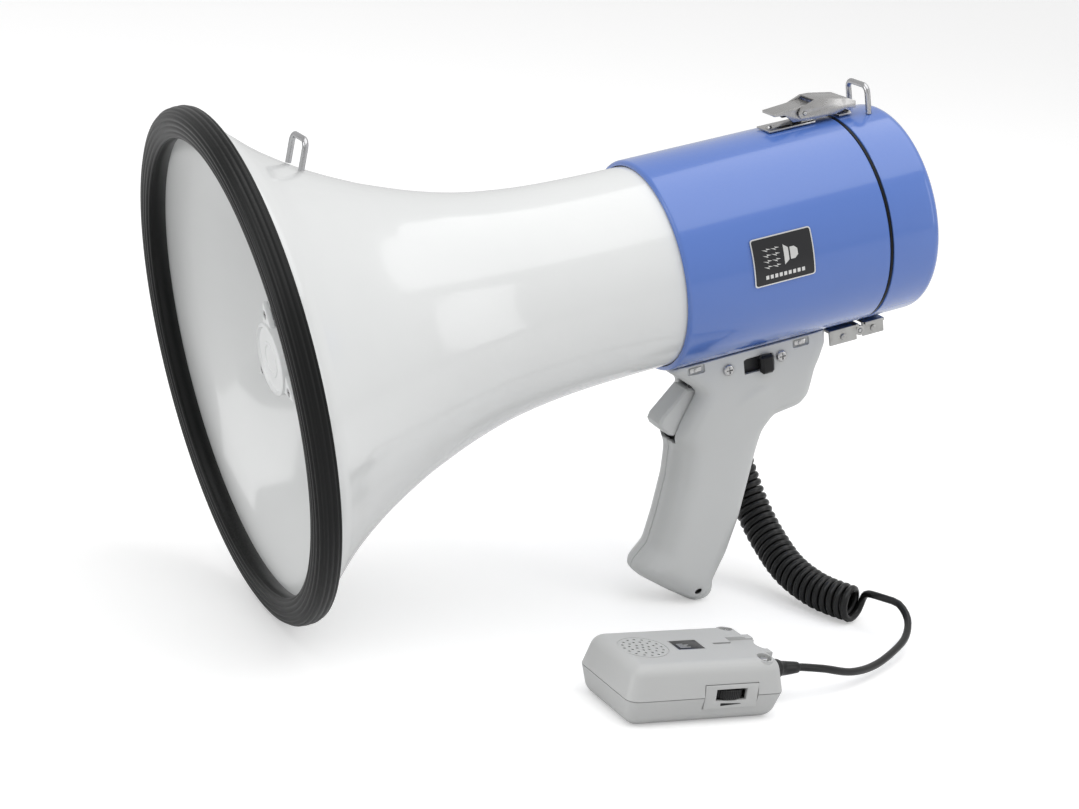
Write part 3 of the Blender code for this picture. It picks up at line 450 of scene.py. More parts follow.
# The coiled cord, from the grip's gland to the microphone
cordLay = {
    "thickness": 0.0036, "turnRadius": 0.0073, "pitch": 0.00385, "step": 0.0025, "runIn": 0.0225,
    "leadStraight": 0.004, "tailStraight": 0.02, "outward": (0.8, -0.3, -0.5),
    "gland": [(-0.1129, -0.0486, 0.0867), (-0.1129, -0.0493, 0.0867), (-0.1138, -0.0545, 0.0863),
              (-0.1166, -0.0588, 0.0838), (-0.1200, -0.0603, 0.0800), (-0.1232, -0.0604, 0.0752)],
    "coil": [(-0.1238, -0.0603, 0.0742), (-0.1275, -0.0594, 0.0690), (-0.1329, -0.0570, 0.0572),
             (-0.1374, -0.0520, 0.0450), (-0.1410, -0.0430, 0.0330), (-0.1442, -0.0300, 0.0225),
             (-0.1475, -0.0130, 0.0140), (-0.1535, 0.0050, 0.0098), (-0.1612, 0.0215, 0.0095),
             (-0.1705, 0.0360, 0.0095)],
    "tail": [(-0.1708, 0.0364, 0.0095), (-0.1745, 0.0425, 0.0090), (-0.1740, 0.0520, 0.0055),
             (-0.1660, 0.0640, 0.0026), (-0.1520, 0.0760, 0.0023), (-0.1350, 0.0875, 0.0030),
             (-0.1170, 0.0970, 0.0062), (-0.0990, 0.1028, 0.0112), (-0.0838, 0.1047, 0.0135),
             (-0.0828, 0.1049, 0.0135)],
}


def evenly(line, spacing):
    # the same line with its points the same distance apart
    gaps = [(b - a).length for a, b in zip(line, line[1:])]
    count = max(2, round(sum(gaps) / spacing))
    goal = sum(gaps) / count
    placed, run = [line[0]], 0.0
    for a, b, gap in zip(line, line[1:], gaps):
        while gap and len(placed) < count and run + gap >= goal * len(placed):
            placed.append(a.lerp(b, (goal * len(placed) - run) / gap))
        run += gap
    return placed + [line[-1]]


def alongLine(line, reach):
    # the point, direction and side carried along a line, at a distance from its start
    for (point, side), (ahead, _) in zip(line, line[1:]):
        gap = (ahead - point).length
        if reach <= gap:
            return point.lerp(ahead, reach / gap), (ahead - point).normalized(), side
        reach -= gap
    return line[-1][0], (line[-1][0] - line[-2][0]).normalized(), line[-1][1]


def eased(t):
    t = min(1.0, max(0.0, t))
    return t * t * (3 - 2 * t)


def drawnAside(line, shift, start, end):
    # a line moved sideways, by nothing at one place along it and by all of the shift at another
    moved, run = [], 0.0
    for number, point in enumerate(line):
        run += (point - line[number - 1]).length if number else 0.0
        moved.append(point + shift * eased((run - start) / (end - start)))
    return moved


def makeCord():
    # the cord runs along the coil's skin at each end and turns into it, so that no bend is tight
    radius, step, runIn = cordLay["turnRadius"], cordLay["step"], cordLay["runIn"]
    core, side = [], Vector(cordLay["outward"])
    points = evenly(curveThrough(cordLay["coil"], 24), 0.0008)
    for number, point in enumerate(points):
        along = (points[min(number + 1, len(points) - 1)] - points[max(number - 1, 0)]).normalized()
        side = (side - along * side.dot(along)).normalized()
        core.append((point, side.copy()))
    length = sum((b - a).length for (a, _), (b, _) in zip(core, core[1:]))
    steepest = math.atan(2 * pi * radius / cordLay["pitch"])
    runSteps = round(runIn / step)
    tilts = [steepest * eased((n + 0.5) / runSteps) for n in range(runSteps)]
    used = 2 * sum(math.cos(tilt) for tilt in tilts) * step
    middle = round((length - used) / (math.cos(steepest) * step))
    tilts = tilts + [steepest] * middle + tilts[::-1]
    stretch = length / (sum(math.cos(tilt) for tilt in tilts) * step)
    wound, reach, turn = [], 0.0, 0.0
    for tilt in [0.0] + tilts:
        if wound:
            reach += math.cos(tilt) * step * stretch
            turn += math.sin(tilt) * step / radius
        point, along, side = alongLine(core, reach)
        wound.append(point + (side * math.cos(turn) + along.cross(side) * math.sin(turn)) * radius)
    lead = evenly(curveThrough(cordLay["gland"], 12), 0.0022)
    leadLength = sum((b - a).length for a, b in zip(lead, lead[1:]))
    lead = drawnAside(lead, wound[0] - core[0][0], cordLay["leadStraight"], leadLength)
    tail = evenly(curveThrough(cordLay["tail"], 12), 0.0035)
    tailLength = sum((b - a).length for a, b in zip(tail, tail[1:]))
    tail = drawnAside(tail[::-1], wound[-1] - core[-1][0], cordLay["tailStraight"], tailLength)[::-1]
    route = lead[:-1] + wound + tail[1:]
    total = sum((b - a).length for a, b in zip(route, route[1:]))
    cord = wireShape("coiledCord", route, cordLay["thickness"] / 2, 3)
    handOver(cord, "cordBlack", "black_rubber", "cord_lead", "cord_coil", "cord_tail")
    tuple(route[0])
    print("cord is laid:", round(total, 3), "m in", round(turn / (2 * pi), 1), "turns")


makeCord()

# The horn and its rim, in (x, radius) along the megaphone's axis
horn = {
    "wall": 0.0025, "steps": 144, "lipEnd": -0.0215,
    "innerLip": [(-0.0205, 0.0987), (-0.0130, 0.1052), (-0.0060, 0.1060)],
    "line": [(-0.0060, 0.1085), (-0.0095, 0.1084), (-0.0130, 0.1080), (-0.0200, 0.1015), (-0.0300, 0.0928),
             (-0.0400, 0.0857), (-0.0500, 0.0795), (-0.0600, 0.0741), (-0.0700, 0.0693), (-0.0800, 0.0650),
             (-0.1000, 0.0579), (-0.1200, 0.0526), (-0.1400, 0.0495), (-0.1600, 0.0478), (-0.1850, 0.0470),
             (-0.2120, 0.0468)],
}
rim = {
    "ridges": 10, "ridgeDepth": 0.00042, "spacing": 0.00022,
    "face": [(-0.0030, 0.1014), (-0.0013, 0.1022), (-0.0006, 0.1038), (-0.0003, 0.1060), (-0.0002, 0.1085),
             (-0.0004, 0.1106), (-0.0010, 0.1124), (-0.0022, 0.1139), (-0.0040, 0.1147), (-0.0065, 0.1149),
             (-0.0088, 0.1148), (-0.0102, 0.1142), (-0.0110, 0.1130)],
    "back": [(-0.0110, 0.1089), (-0.0055, 0.1089), (-0.0055, 0.1062), (-0.0095, 0.1050), (-0.0100, 0.1038),
             (-0.0092, 0.1030), (-0.0060, 0.1012), (-0.0042, 0.1012)],
}


def makeHorn():
    outside = [(p.x, p.y) for p in curveThrough([(x, r, 0) for x, r in horn["line"][3:]], 4)]
    lip = horn["line"][:3]
    inside = [(x, r - horn["wall"]) for x, r in outside[::-1] if x < horn["lipEnd"]]
    piece = spunShape("hornBell", lip + outside + inside + horn["innerLip"], horn["steps"])
    layInRow(piece, "hornWhite", "white_gloss", "horn_bell", angle=40)


def makeRim():
    # fine rings stand all over the face, as the rubber is moulded
    line = evenly(curveThrough([(x, r, 0) for x, r in rim["face"]], 10), rim["spacing"])
    face = []
    for number, point in enumerate(line):
        ahead = line[min(number + 1, len(line) - 1)] - line[max(number - 1, 0)]
        along = ahead.normalized()
        wave = 0.5 - 0.5 * math.cos(2 * pi * rim["ridges"] * number / (len(line) - 1))
        sunk = rim["ridgeDepth"] * (1 - wave ** 0.6)
        face.append((point.x - along.y * sunk, point.y + along.x * sunk))
    piece = spunShape("rimRubber", face + rim["back"], horn["steps"])
    layInRow(piece, "rimBlack", "black_rubber", "rim_bumper", angle=50)


makeHorn()
makeRim()

# What is seen down the horn
driver = {
    "front": -0.0215, "steps": 72, "ears": (90, 210, 330), "earCircle": 0.0205,
    "post": (-0.0258, -0.0540, 0.0031), "lug": {"radius": 0.0098, "depth": 0.0026, "circle": 0.0169},
    "screw": {"seat": 0.0021, "head": 0.0018, "slotReach": 0.0013, "slotHalf": 0.0003, "slotFloor": 0.0017},
    "shell": [(-0.0258, 0.0155), (-0.0262, 0.0160), (-0.0273, 0.0162), (-0.0400, 0.0168), (-0.0440, 0.0180),
              (-0.0520, 0.0225), (-0.0590, 0.0283), (-0.0605, 0.0294), (-0.0620, 0.0299), (-0.0640, 0.0300),
              (-0.0855, 0.0300), (-0.0860, 0.0297), (-0.0860, 0.0280), (-0.0630, 0.0280), (-0.0530, 0.0210),
              (-0.0410, 0.0148), (-0.0258, 0.0135)],
    "face": [(-0.0009, 0.0), (-0.0009, 0.0060), (-0.0005, 0.0064), (-0.0005, 0.0078), (-0.0009, 0.0082),
             (-0.0009, 0.0141), (-0.0004, 0.0146), (0.0, 0.0149), (0.0, 0.0158), (-0.0003, 0.0163),
             (-0.0008, 0.0165), (-0.0040, 0.0165), (-0.0040, 0.0)],
    "reflector": [(-0.1865, 0.004), (-0.1965, 0.014), (-0.2025, 0.026), (-0.2040, 0.0439)],
}


def makeDriver():
    front, steps, lugSize, cross = driver["front"], driver["steps"], driver["lug"], driver["screw"]
    ears = [(angle, math.sin(math.radians(angle)), math.cos(math.radians(angle))) for angle in driver["ears"]]
    shell = spunShape("driverShell", driver["shell"], steps)
    start, end, radius = driver["post"]
    for _, across, up in ears:
        y, z = driver["earCircle"] * up, driver["earCircle"] * across
        weld(shell, rodShape("post", (start, y, z), (end, y, z), radius, 20))
    layInRow(shell, "driverWhite", "white_gloss", "driver_housing")
    cap = spunShape("driverFace", [(front + x, r) for x, r in driver["face"]], steps, closed=False)
    for angle, across, up in ears:
        y, z = driver["earCircle"] * up, driver["earCircle"] * across
        bpy.ops.mesh.primitive_cylinder_add(vertices=3, radius=lugSize["radius"], depth=lugSize["depth"])
        lug = bpy.context.object
        bpy.ops.object.mode_set(mode="EDIT")
        bpy.ops.transform.resize(value=(0.85, 1.0, 1.0))
        closeMesh()
        roundOff(lug, 0.0005, 2)
        outward = Matrix(((0, 0, 1), (across, up, 0), (-up, across, 0))).to_4x4()
        circle = lugSize["circle"]
        settle(lug, Matrix.Translation((front - 0.0025, circle * up, circle * across)) @ outward)
        weld(cap, lug)
        carve(cap, rodShape("screwSeat", (front - 0.0022, y, z), (front + 0.0010, y, z), cross["seat"], 20))
        screw = rodShape("driverScrew", (front - 0.0021, y, z), (front - 0.0013, y, z), cross["head"], 20)
        long, thin, floor = cross["slotReach"], cross["slotHalf"], front - cross["slotFloor"]
        carve(screw, blockShape("slot", (floor, y - thin, z - long), (front, y + thin, z + long)),
              blockShape("slot", (floor, y - long, z - thin), (front, y + long, z + thin)))
        screw.name = "driverScrew%d" % angle
        layInRow(screw, "screwSteel", "bright_steel")
    layInRow(cap, "driverWhite", "white_gloss", "driver_cap")
    cone = [(p.x, p.y) for p in curveThrough([(x, r, 0) for x, r in driver["reflector"]], 6)]
    reflector = spunShape("reflectorCone", [(-0.1845, 0.0), (-0.1848, 0.0015)] + cone +
                          [(-0.2113, 0.0439), (-0.2113, 0.0)], steps, closed=False)
    layInRow(reflector, "hornWhite", "white_gloss", "throat_reflector")
    innerHorn = refined("innerHorn", "inner_horn", 0)
    handOver(innerHorn, "driverWhite", "white_gloss", "inner_horn", angle=45)


makeDriver()
print("horn, rim and driver are made")

# Barrel, cover and what is fixed to them
barrel = {"radius": 0.0495, "front": -0.2017, "rear": -0.3055, "steps": 144}
cover = {"rear": -0.3335, "corner": 0.005}
strapLoop = {"half": 0.0085, "height": 0.0130, "corner": 0.0035, "foot": 0.004, "wire": 0.00135}


def makeBarrel():
    front, rear, radius = barrel["front"], barrel["rear"], barrel["radius"]
    lip = arcPoints((front - 0.0018, radius - 0.0018), 0.0018, 20, 90, 6)
    shell = spunShape("barrelShell", [(front, 0.0473), (front, 0.0480)] + lip + [
        (-0.2400, radius), (-0.2800, radius), (rear + 0.0004, radius), (rear, radius - 0.0003), (rear, 0.0474),
        (rear + 0.0003, 0.0471), (-0.2155, 0.0471), (-0.2155, 0.0445), (-0.2125, 0.0445), (-0.2125, 0.0473)],
        barrel["steps"])
    layInRow(shell, "shellBlue", "blue_gloss", "body_barrel")
    ring = spunShape("seamRing", [(-0.3058, 0.0476), (-0.3058, 0.0489), (-0.3061, 0.0492), (-0.3069, 0.0492),
                                  (-0.3072, 0.0489), (-0.3072, 0.0476)], barrel["steps"])
    layInRow(ring, "rimBlack", "black_rubber", "seam_gasket")
    bend = cover["corner"]
    corner = arcPoints((cover["rear"] + bend, radius - bend), bend, 90, 180, 10)
    cap = spunShape("rearCover", [
        (-0.3312, 0.0), (-0.3312, 0.0445), (-0.3290, 0.0471), (-0.3078, 0.0471), (-0.3075, 0.0474),
        (-0.3075, radius - 0.0003), (-0.3078, radius)] + corner + [
        (cover["rear"], 0.0340), (cover["rear"] + 0.0004, 0.0336), (cover["rear"] + 0.0004, 0.0326),
        (cover["rear"], 0.0322), (cover["rear"], 0.0)], barrel["steps"], closed=False)
    layInRow(cap, "shellBlue", "blue_gloss", "rear_cover", body="cover")


def makeLoop(name, node, body, x, radius, lean):
    # a bent wire loop with both feet in the round wall under it
    half, height, corner = strapLoop["half"], strapLoop["height"], strapLoop["corner"]
    foot = (radius ** 2 - half ** 2) ** 0.5 + 0.0002
    bend = arcPoints((half - corner, height - corner), corner, 0, 90, 9)
    sides = [(half, 0), (half, strapLoop["foot"])] + bend
    route = sides + [(-y, z) for y, z in sides[::-1]]
    points = [(x - math.sin(lean) * z, y, foot + math.cos(lean) * z) for y, z in route]
    loop = wireShape(name, points, strapLoop["wire"], 4)
    layInRow(loop, "loopChrome", "bright_steel", node, body=body)


makeBarrel()
makeLoop("frontStrapLoop", "front_strap_loop", "megaphone", -0.0460, 0.0822, math.radians(19))
makeLoop("rearStrapLoop", "rear_strap_loop", "cover", -0.3225, barrel["radius"], 0.0)

# The nameplate, with a plain picture of a loudspeaker and its sound
plate = {
    "x": -0.2499, "angle": 6.5, "halfLength": 0.0155, "halfHeight": 0.0112, "radius": 0.0503,
    "edge": 0.0006, "backLift": -0.00025, "backWall": 0.0005, "faceLift": 0.00004, "markLift": 0.0001,
    "foil": 0.00008,
    "box": [(-0.0002, 0.0060), (-0.0002, -0.0032), (-0.0026, -0.0014), (-0.0026, 0.0042)],
    "horn": [(-0.0034, 0.0042), (-0.0034, -0.0014), (-0.0056, -0.0014), (-0.0072, 0.0000), (-0.0072, 0.0028),
             (-0.0056, 0.0042)],
    "spark": [(0.0, 0.0), (0.0024, 0.0007), (0.0019, -0.0002), (0.0046, 0.0004), (0.0017, -0.0010),
              (0.0022, -0.0001)],
}


def onBarrel(x, up, lift=0.0):
    # a point on the barrel's left side, up being measured round it from the nameplate's middle
    angle = math.radians(plate["angle"]) + up / plate["radius"]
    reach = plate["radius"] + lift
    return Vector((plate["x"] + x, reach * math.cos(angle), reach * math.sin(angle)))


def curvedPatch(name, corners, lift, thickness):
    # a flat outline wrapped on to the nameplate's curve
    bpy.ops.mesh.primitive_circle_add(vertices=len(corners), radius=0.001, fill_type="NGON")
    piece = bpy.context.object
    piece.name = name
    for vertex, (x, up) in zip(piece.data.vertices, corners):
        vertex.co = (x, up, 0)
    bpy.ops.object.mode_set(mode="EDIT")
    for cut in range(-10, 11):
        bpy.ops.mesh.select_all(action="SELECT")
        bpy.ops.mesh.bisect(plane_co=(0, cut * 0.0011, 0), plane_no=(0, 1, 0))
    bpy.ops.mesh.select_all(action="SELECT")
    bpy.ops.mesh.normals_make_consistent(inside=False)
    closeMesh()
    for vertex in piece.data.vertices:
        vertex.co = onBarrel(vertex.co.x, vertex.co.y, lift)
    wall = piece.modifiers.new("wall", "SOLIDIFY")
    wall.thickness, wall.offset = thickness, 0
    applyAll(piece)
    openMesh()
    bpy.ops.mesh.normals_make_consistent(inside=False)
    closeMesh()
    return piece


def roundedOutline(halfX, halfY, radius, count=5):
    corners = [(halfX - radius, halfY - radius, 0), (radius - halfX, halfY - radius, 90),
               (radius - halfX, radius - halfY, 180), (halfX - radius, radius - halfY, 270)]
    return [point for x, y, start in corners for point in arcPoints((x, y), radius, start, start + 90, count)]


def makeNameplate():
    halfX, halfY, foil, lift = plate["halfLength"], plate["halfHeight"], plate["foil"], plate["markLift"]
    outline = roundedOutline(halfX, halfY, 0.0014)
    back = curvedPatch("nameplateEdge", outline, plate["backLift"], plate["backWall"])
    layInRow(back, "labelSilver", "label_black", "label_plate")
    outline = roundedOutline(halfX - plate["edge"], halfY - plate["edge"], 0.0010)
    face = curvedPatch("nameplateFace", outline, plate["faceLift"], foil)
    layInRow(face, "labelBlack", "label_black")
    outlines = [plate["box"], plate["horn"]]
    for number in range(4):
        up = 0.0052 - number * 0.0026
        for side in (0, 1):
            along = 0.0016 + side * 0.0044
            outlines.append([(along + x, up + rise) for x, rise in plate["spark"]])
    for number in range(9):
        near = -0.0100 + number * 0.0023
        far = near + 0.0015
        outlines.append([(near, -0.0064), (far, -0.0064), (far, -0.0082), (near, -0.0082)])
    picture = joinUp("nameplatePicture", [curvedPatch("mark", line, lift, foil) for line in outlines])
    layInRow(picture, "labelSilver", "label_black")


makeNameplate()
print("barrel, cover and nameplate are made")


# Latch and hinge
latch = (
    ("latchBase", "latch_base", "megaphone", 0.00020),
    ("latchLever", "latch_lever", "latch_lever_body", 0.00025),
    ("latchHook", "latch_hook", "latch_hook_body", 0.00030),
    ("latchCatch", "latch_catch", "cover", 0.00020))
hinge = {
    "wing": {"near": 0.0138, "far": 0.0150, "foot": -0.0572, "head": -0.0500},
    "boss": {"near": 0.0140, "far": 0.0158, "height": -0.0540, "radius": 0.0016},
    "rivet": {"fromEnd": 0.0035, "y": 0.0060, "top": -0.0502, "foot": -0.0518, "radius": 0.0015},
}


def makeLatch():
    for name, node, body, width in latch:
        piece = refined(name, node, width)
        handOver(piece, "latchSteel", "brushed_steel", node, body=body, angle=40)
    for name, node, body in (("latchPivotPin", "latch_pivot_pin", "megaphone"),
                             ("latchLinkPin", "latch_link_pin", "latch_lever_body")):
        handOver(refined(name, node, 0.00025, 3, 50), "screwSteel", "bright_steel", node, body=body, angle=40)


def makeHinge():
    wing, boss, rivet = hinge["wing"], hinge["boss"], hinge["rivet"]
    for name, node, body, low, high, inset in (
            ("hingeLeafBody", "hinge_leaf_body", "megaphone", -0.3046, -0.2896, 0.0),
            ("hingeLeafCover", "hinge_leaf_cover", "cover", -0.3204, -0.3086, 0.0016)):
        leaf = refined(name, node, 0.00025)
        settle(leaf, levelToRow.inverted())
        middle = (low + high) / 2
        for side in (1, -1):
            near, far = sorted((side * (wing["near"] - inset), side * (wing["far"] - inset)))
            plateSide = blockShape("wing", (low, near, wing["foot"]), (high, far, wing["head"]))
            roundOff(plateSide, 0.0005, 2)
            knuckle = rodShape("wingBoss", (middle, side * (boss["near"] - inset), boss["height"]),
                               (middle, side * (boss["far"] - inset), boss["height"]), boss["radius"], 24)
            roundOff(knuckle, 0.0005, 2)
            weld(leaf, plateSide, knuckle)
        for x in (low + rivet["fromEnd"], high - rivet["fromEnd"]):
            for y in (rivet["y"], -rivet["y"]):
                weld(leaf, rodShape("rivet", (x, y, rivet["top"]), (x, y, rivet["foot"]), rivet["radius"], 20))
        layInRow(leaf, "hingeSteel", "brushed_steel", node, body=body, angle=40)
    handOver(refined("hingePin", "hinge_pin", 0.00025, 3, 50), "screwSteel", "bright_steel", "hinge_pin")


makeLatch()
makeHinge()

# Grip, trigger and switch
grip = {
    "half": 0.0170, "edge": 0.0060, "lowHalf": 0.0145, "lowEdge": 0.0122, "narrowFrom": -0.060, "narrowTo": -0.098,
    "voxel": 0.00085, "softening": 30, "clips": (-0.2175, -0.2730), "clipHeight": -0.0504,
    "lanyard": (-0.2101, -0.1635),
    "triggerWay": ((-0.2230, -0.0076, -0.0875), (-0.1950, 0.0076, -0.0620)),
    "switchWay": ((-0.2578, 0.0120, -0.0587), (-0.2422, 0.0200, -0.0517)),
    "outline": [(-0.2065, -0.0360), (-0.2065, -0.0505), (-0.2120, -0.0550), (-0.2185, -0.0610), (-0.2200, -0.0640),
                (-0.2065, -0.0845), (-0.2075, -0.0910), (-0.2040, -0.1050), (-0.1970, -0.1230), (-0.1910, -0.1360),
                (-0.1830, -0.1425), (-0.1812, -0.1460), (-0.1835, -0.1500), (-0.1970, -0.1615),
                (-0.2065, -0.1690), (-0.2130, -0.1700), (-0.2190, -0.1660), (-0.2235, -0.1590), (-0.2295, -0.1505),
                (-0.2385, -0.1330), (-0.2505, -0.1020), (-0.2545, -0.0930), (-0.2600, -0.0870), (-0.2740, -0.0852),
                (-0.2790, -0.0800), (-0.2820, -0.0670), (-0.2880, -0.0550), (-0.2895, -0.0360)],
}
gripScrew = {"radius": 0.0028, "sunk": 0.0012, "proud": 0.0017, "dome": 0.0011, "cross": (0.0016, 0.00035)}


def depthInside(x, z):
    # how far a point is inside the grip's side view
    best = 1.0
    line = grip["outline"]
    for (ax, az), (bx, bz) in zip(line, line[1:] + line[:1]):
        dx, dz = bx - ax, bz - az
        t = min(1.0, max(0.0, ((x - ax) * dx + (z - az) * dz) / (dx * dx + dz * dz)))
        best = min(best, math.hypot(x - ax - t * dx, z - az - t * dz))
    return best


def bulge(depth, half, edge):
    inner = min(depth, edge)
    return half - edge + math.sqrt(edge * edge - (edge - inner) ** 2)


def narrowed(x, y, z):
    # a place on the boxy grip moved to where it is on the rounded, narrower one
    blend = eased((grip["narrowFrom"] - z) / (grip["narrowFrom"] - grip["narrowTo"]))
    if blend == 0.0:
        return y
    depth = max(depthInside(x, z), 0.0004)
    half = grip["half"] + (grip["lowHalf"] - grip["half"]) * blend
    edge = grip["edge"] + (grip["lowEdge"] - grip["edge"]) * blend
    return y * bulge(depth, half, edge) / bulge(depth, grip["half"], grip["edge"])


def softGrip(name, node, side):
    shell = refined(name, node, 0)
    settle(shell, levelToRow.inverted())
    skin = shell.modifiers.new("skin", "REMESH")
    skin.mode, skin.voxel_size = "VOXEL", grip["voxel"]
    applyAll(shell)
    soft = shell.vertex_groups.new(name="soft")
    for vertex in shell.data.vertices:
        x, y, z = vertex.co
        vertex.co.y = narrowed(x, y, z)
        weight = eased((abs(vertex.co.y) - 0.002) / 0.004) * eased((-0.0600 - z) / 0.008)
        soft.add([vertex.index], weight, "REPLACE")
    for group, passes in (("soft", grip["softening"]), ("", 2)):
        smooth = shell.modifiers.new("smooth", "SMOOTH")
        smooth.factor, smooth.iterations, smooth.vertex_group = 0.5, passes, group
    applyAll(shell)
    shell.vertex_groups.clear()
    outer = side * grip["half"]
    near, far = sorted((outer - side * 0.0016, outer + side * 0.004))
    cutters = []
    for x in grip["clips"]:
        pocket = blockShape("pocket", (x - 0.0045, near, -0.0522), (x + 0.0045, far, -0.0478))
        roundOff(pocket, 0.0009, 3, 60)
        cutters.append(pocket)
    cutters.append(blockShape("triggerWay", *grip["triggerWay"]))
    if side > 0:
        slot = blockShape("switchWay", *grip["switchWay"])
        roundOff(slot, 0.0004, 2)
        cutters.append(slot)
    x, z = grip["lanyard"]
    cutters.append(rodShape("lanyardHole", (x, -0.03, z), (x, 0.03, z), 0.0018, 24))
    carve(shell, *cutters)
    near, far = sorted((outer - side * 0.0016, outer - side * 0.0008))
    for x in grip["clips"]:
        clip = blockShape("saddleClip%d%d" % (side + 1, round(-x * 1000)), (x - 0.0030, near, -0.0516),
                          (x + 0.0030, far, -0.0492))
        roundOff(clip, 0.0003, 2)
        z = grip["clipHeight"]
        stud = rodShape("stud", (x, outer - side * 0.0010, z), (x, outer - side * 0.0003, z), 0.0010, 20)
        roundOff(stud, 0.0003, 2)
        weld(clip, stud)
        layInRow(clip, "screwSteel", "bright_steel")
    layInRow(shell, "gripGrey", "grey_plastic", node, angle=34)


def panScrew(name, node, x, z, seat, side):
    # a domed head with a cross driven into it
    start, end = seat - side * gripScrew["sunk"], seat + side * gripScrew["proud"]
    head = rodShape(name, (x, start, z), (x, end, z), gripScrew["radius"], 40)
    roundOff(head, gripScrew["dome"], 4, 60)
    near, far = sorted((seat + side * 0.0006, seat + side * 0.004))
    for reach, width in (gripScrew["cross"], gripScrew["cross"][::-1]):
        carve(head, blockShape("cross", (x - reach, near, z - width), (x + reach, far, z + width)))
    layInRow(head, "screwSteel", "bright_steel", node, angle=40)


def makeGrip():
    softGrip("gripLeft", "handle_shell_left", 1)
    softGrip("gripRight", "handle_shell_right", -1)
    handOver(refined("talkTrigger", "trigger", 0.0007, 3, 20), "gripGrey", "grey_plastic", "trigger",
             body="trigger_body", angle=45)
    handOver(refined("powerKnob", "slide_switch_knob", 0.0004, 3), "knobBlack", "black_plastic",
             "slide_switch_knob", body="switch_knob")
    half = grip["half"]
    panScrew("switchScrewFront", "switch_screw_front", -0.2338, -0.0540, half, 1)
    panScrew("switchScrewRear", "switch_screw_rear", -0.2620, -0.0540, half, 1)
    panScrew("gripScrewUpper", "handle_screw_upper", -0.2680, -0.0720, -narrowed(-0.2680, half, -0.0720), -1)
    panScrew("gripScrewLower", "handle_screw_lower", -0.2150, -0.1430, -narrowed(-0.2150, half, -0.1430), -1)


makeGrip()
print("latch, hinge and grip are made")

# The microphone, in its own frame: x to its cord, z up from the table
mic = {
    "length": 0.077, "width": 0.048, "height": 0.027, "parting": 0.0125, "gap": 0.00015, "draft": 0.0030,
    "wall": 0.0018, "corner": 0.005, "notch": (0.0420, 0.0070), "screws": (0.0290, 0.0165),
    "boss": 0.0042, "recess": 0.0033, "bore": 0.0014, "plate": (0.0068, 0.0052),
    "plateLines": (0.0052, 0.0040, 0.0052, 0.0030),
}
grille = {"centre": (-0.0215, 0.0), "rings": ((0.0, 1), (0.0030, 6), (0.0060, 12), (0.0088, 16)), "hole": 0.00068,
          "groove": (0.0108, 0.0112)}


def taperedHalf(name, low, high, lowInset, highInset, openTop):
    # half of the case: a tapered block, rounded, hollowed from its open side and cut at the parting
    spare = 0.0008
    edge = high if openTop else low
    low, high = (low, high + spare) if openTop else (low - spare, high)
    halfX, halfY = mic["length"] / 2, mic["width"] / 2
    piece = blockShape(name, (-halfX, -halfY, low), (halfX, halfY, high))
    bpy.ops.object.mode_set(mode="EDIT")
    for level, inset in ((low, lowInset), (high, highInset)):
        bpy.ops.mesh.select_all(action="DESELECT")
        closeMesh()
        for vertex in piece.data.vertices:
            vertex.select = abs(vertex.co.z - level) < 1e-5
        bpy.ops.object.mode_set(mode="EDIT")
        bpy.ops.transform.resize(value=((halfX - inset) / halfX, (halfY - inset) / halfY, 1),
                                 center_override=(0, 0, level))
    closeMesh()
    openSide = high if openTop else low
    for polygon in piece.data.polygons:
        polygon.select = abs(polygon.center.z - openSide) < 1e-5
    for part in (*piece.data.edges, *piece.data.vertices):
        part.select = False
    bpy.ops.object.mode_set(mode="EDIT")
    bpy.ops.mesh.select_mode(type="FACE")
    bpy.ops.mesh.delete(type="ONLY_FACE")
    bpy.ops.mesh.select_mode(type="VERT")
    closeMesh()
    rounding = piece.modifiers.new("round", "BEVEL")
    rounding.width, rounding.segments, rounding.limit_method = mic["corner"], 6, "ANGLE"
    rounding.angle_limit = math.radians(40)
    wall = piece.modifiers.new("wall", "SOLIDIFY")
    wall.thickness, wall.offset, wall.use_even_offset = mic["wall"], -1, True
    applyAll(piece)
    ends = (edge, edge + 0.010) if openTop else (edge - 0.010, edge)
    carve(piece, blockShape("otherHalf", (-0.060, -0.040, ends[0]), (0.060, 0.040, ends[1])))
    return piece


def windowCutters():
    face, parting = mic["width"] / 2, mic["parting"]
    yield blockShape("frameWay", (-0.0023, -face - 0.003, parting - 0.0055),
                     (0.0243, -face + 0.006, parting + 0.0055))
    yield blockShape("keyWay", (-0.0190, face - 0.006, parting - 0.0045),
                     (0.0130, face + 0.003, parting + 0.0045))
    yield rodShape("reliefWay", (0.030, 0, parting + 0.001), (0.045, 0, parting + 0.001), 0.0037, 32)


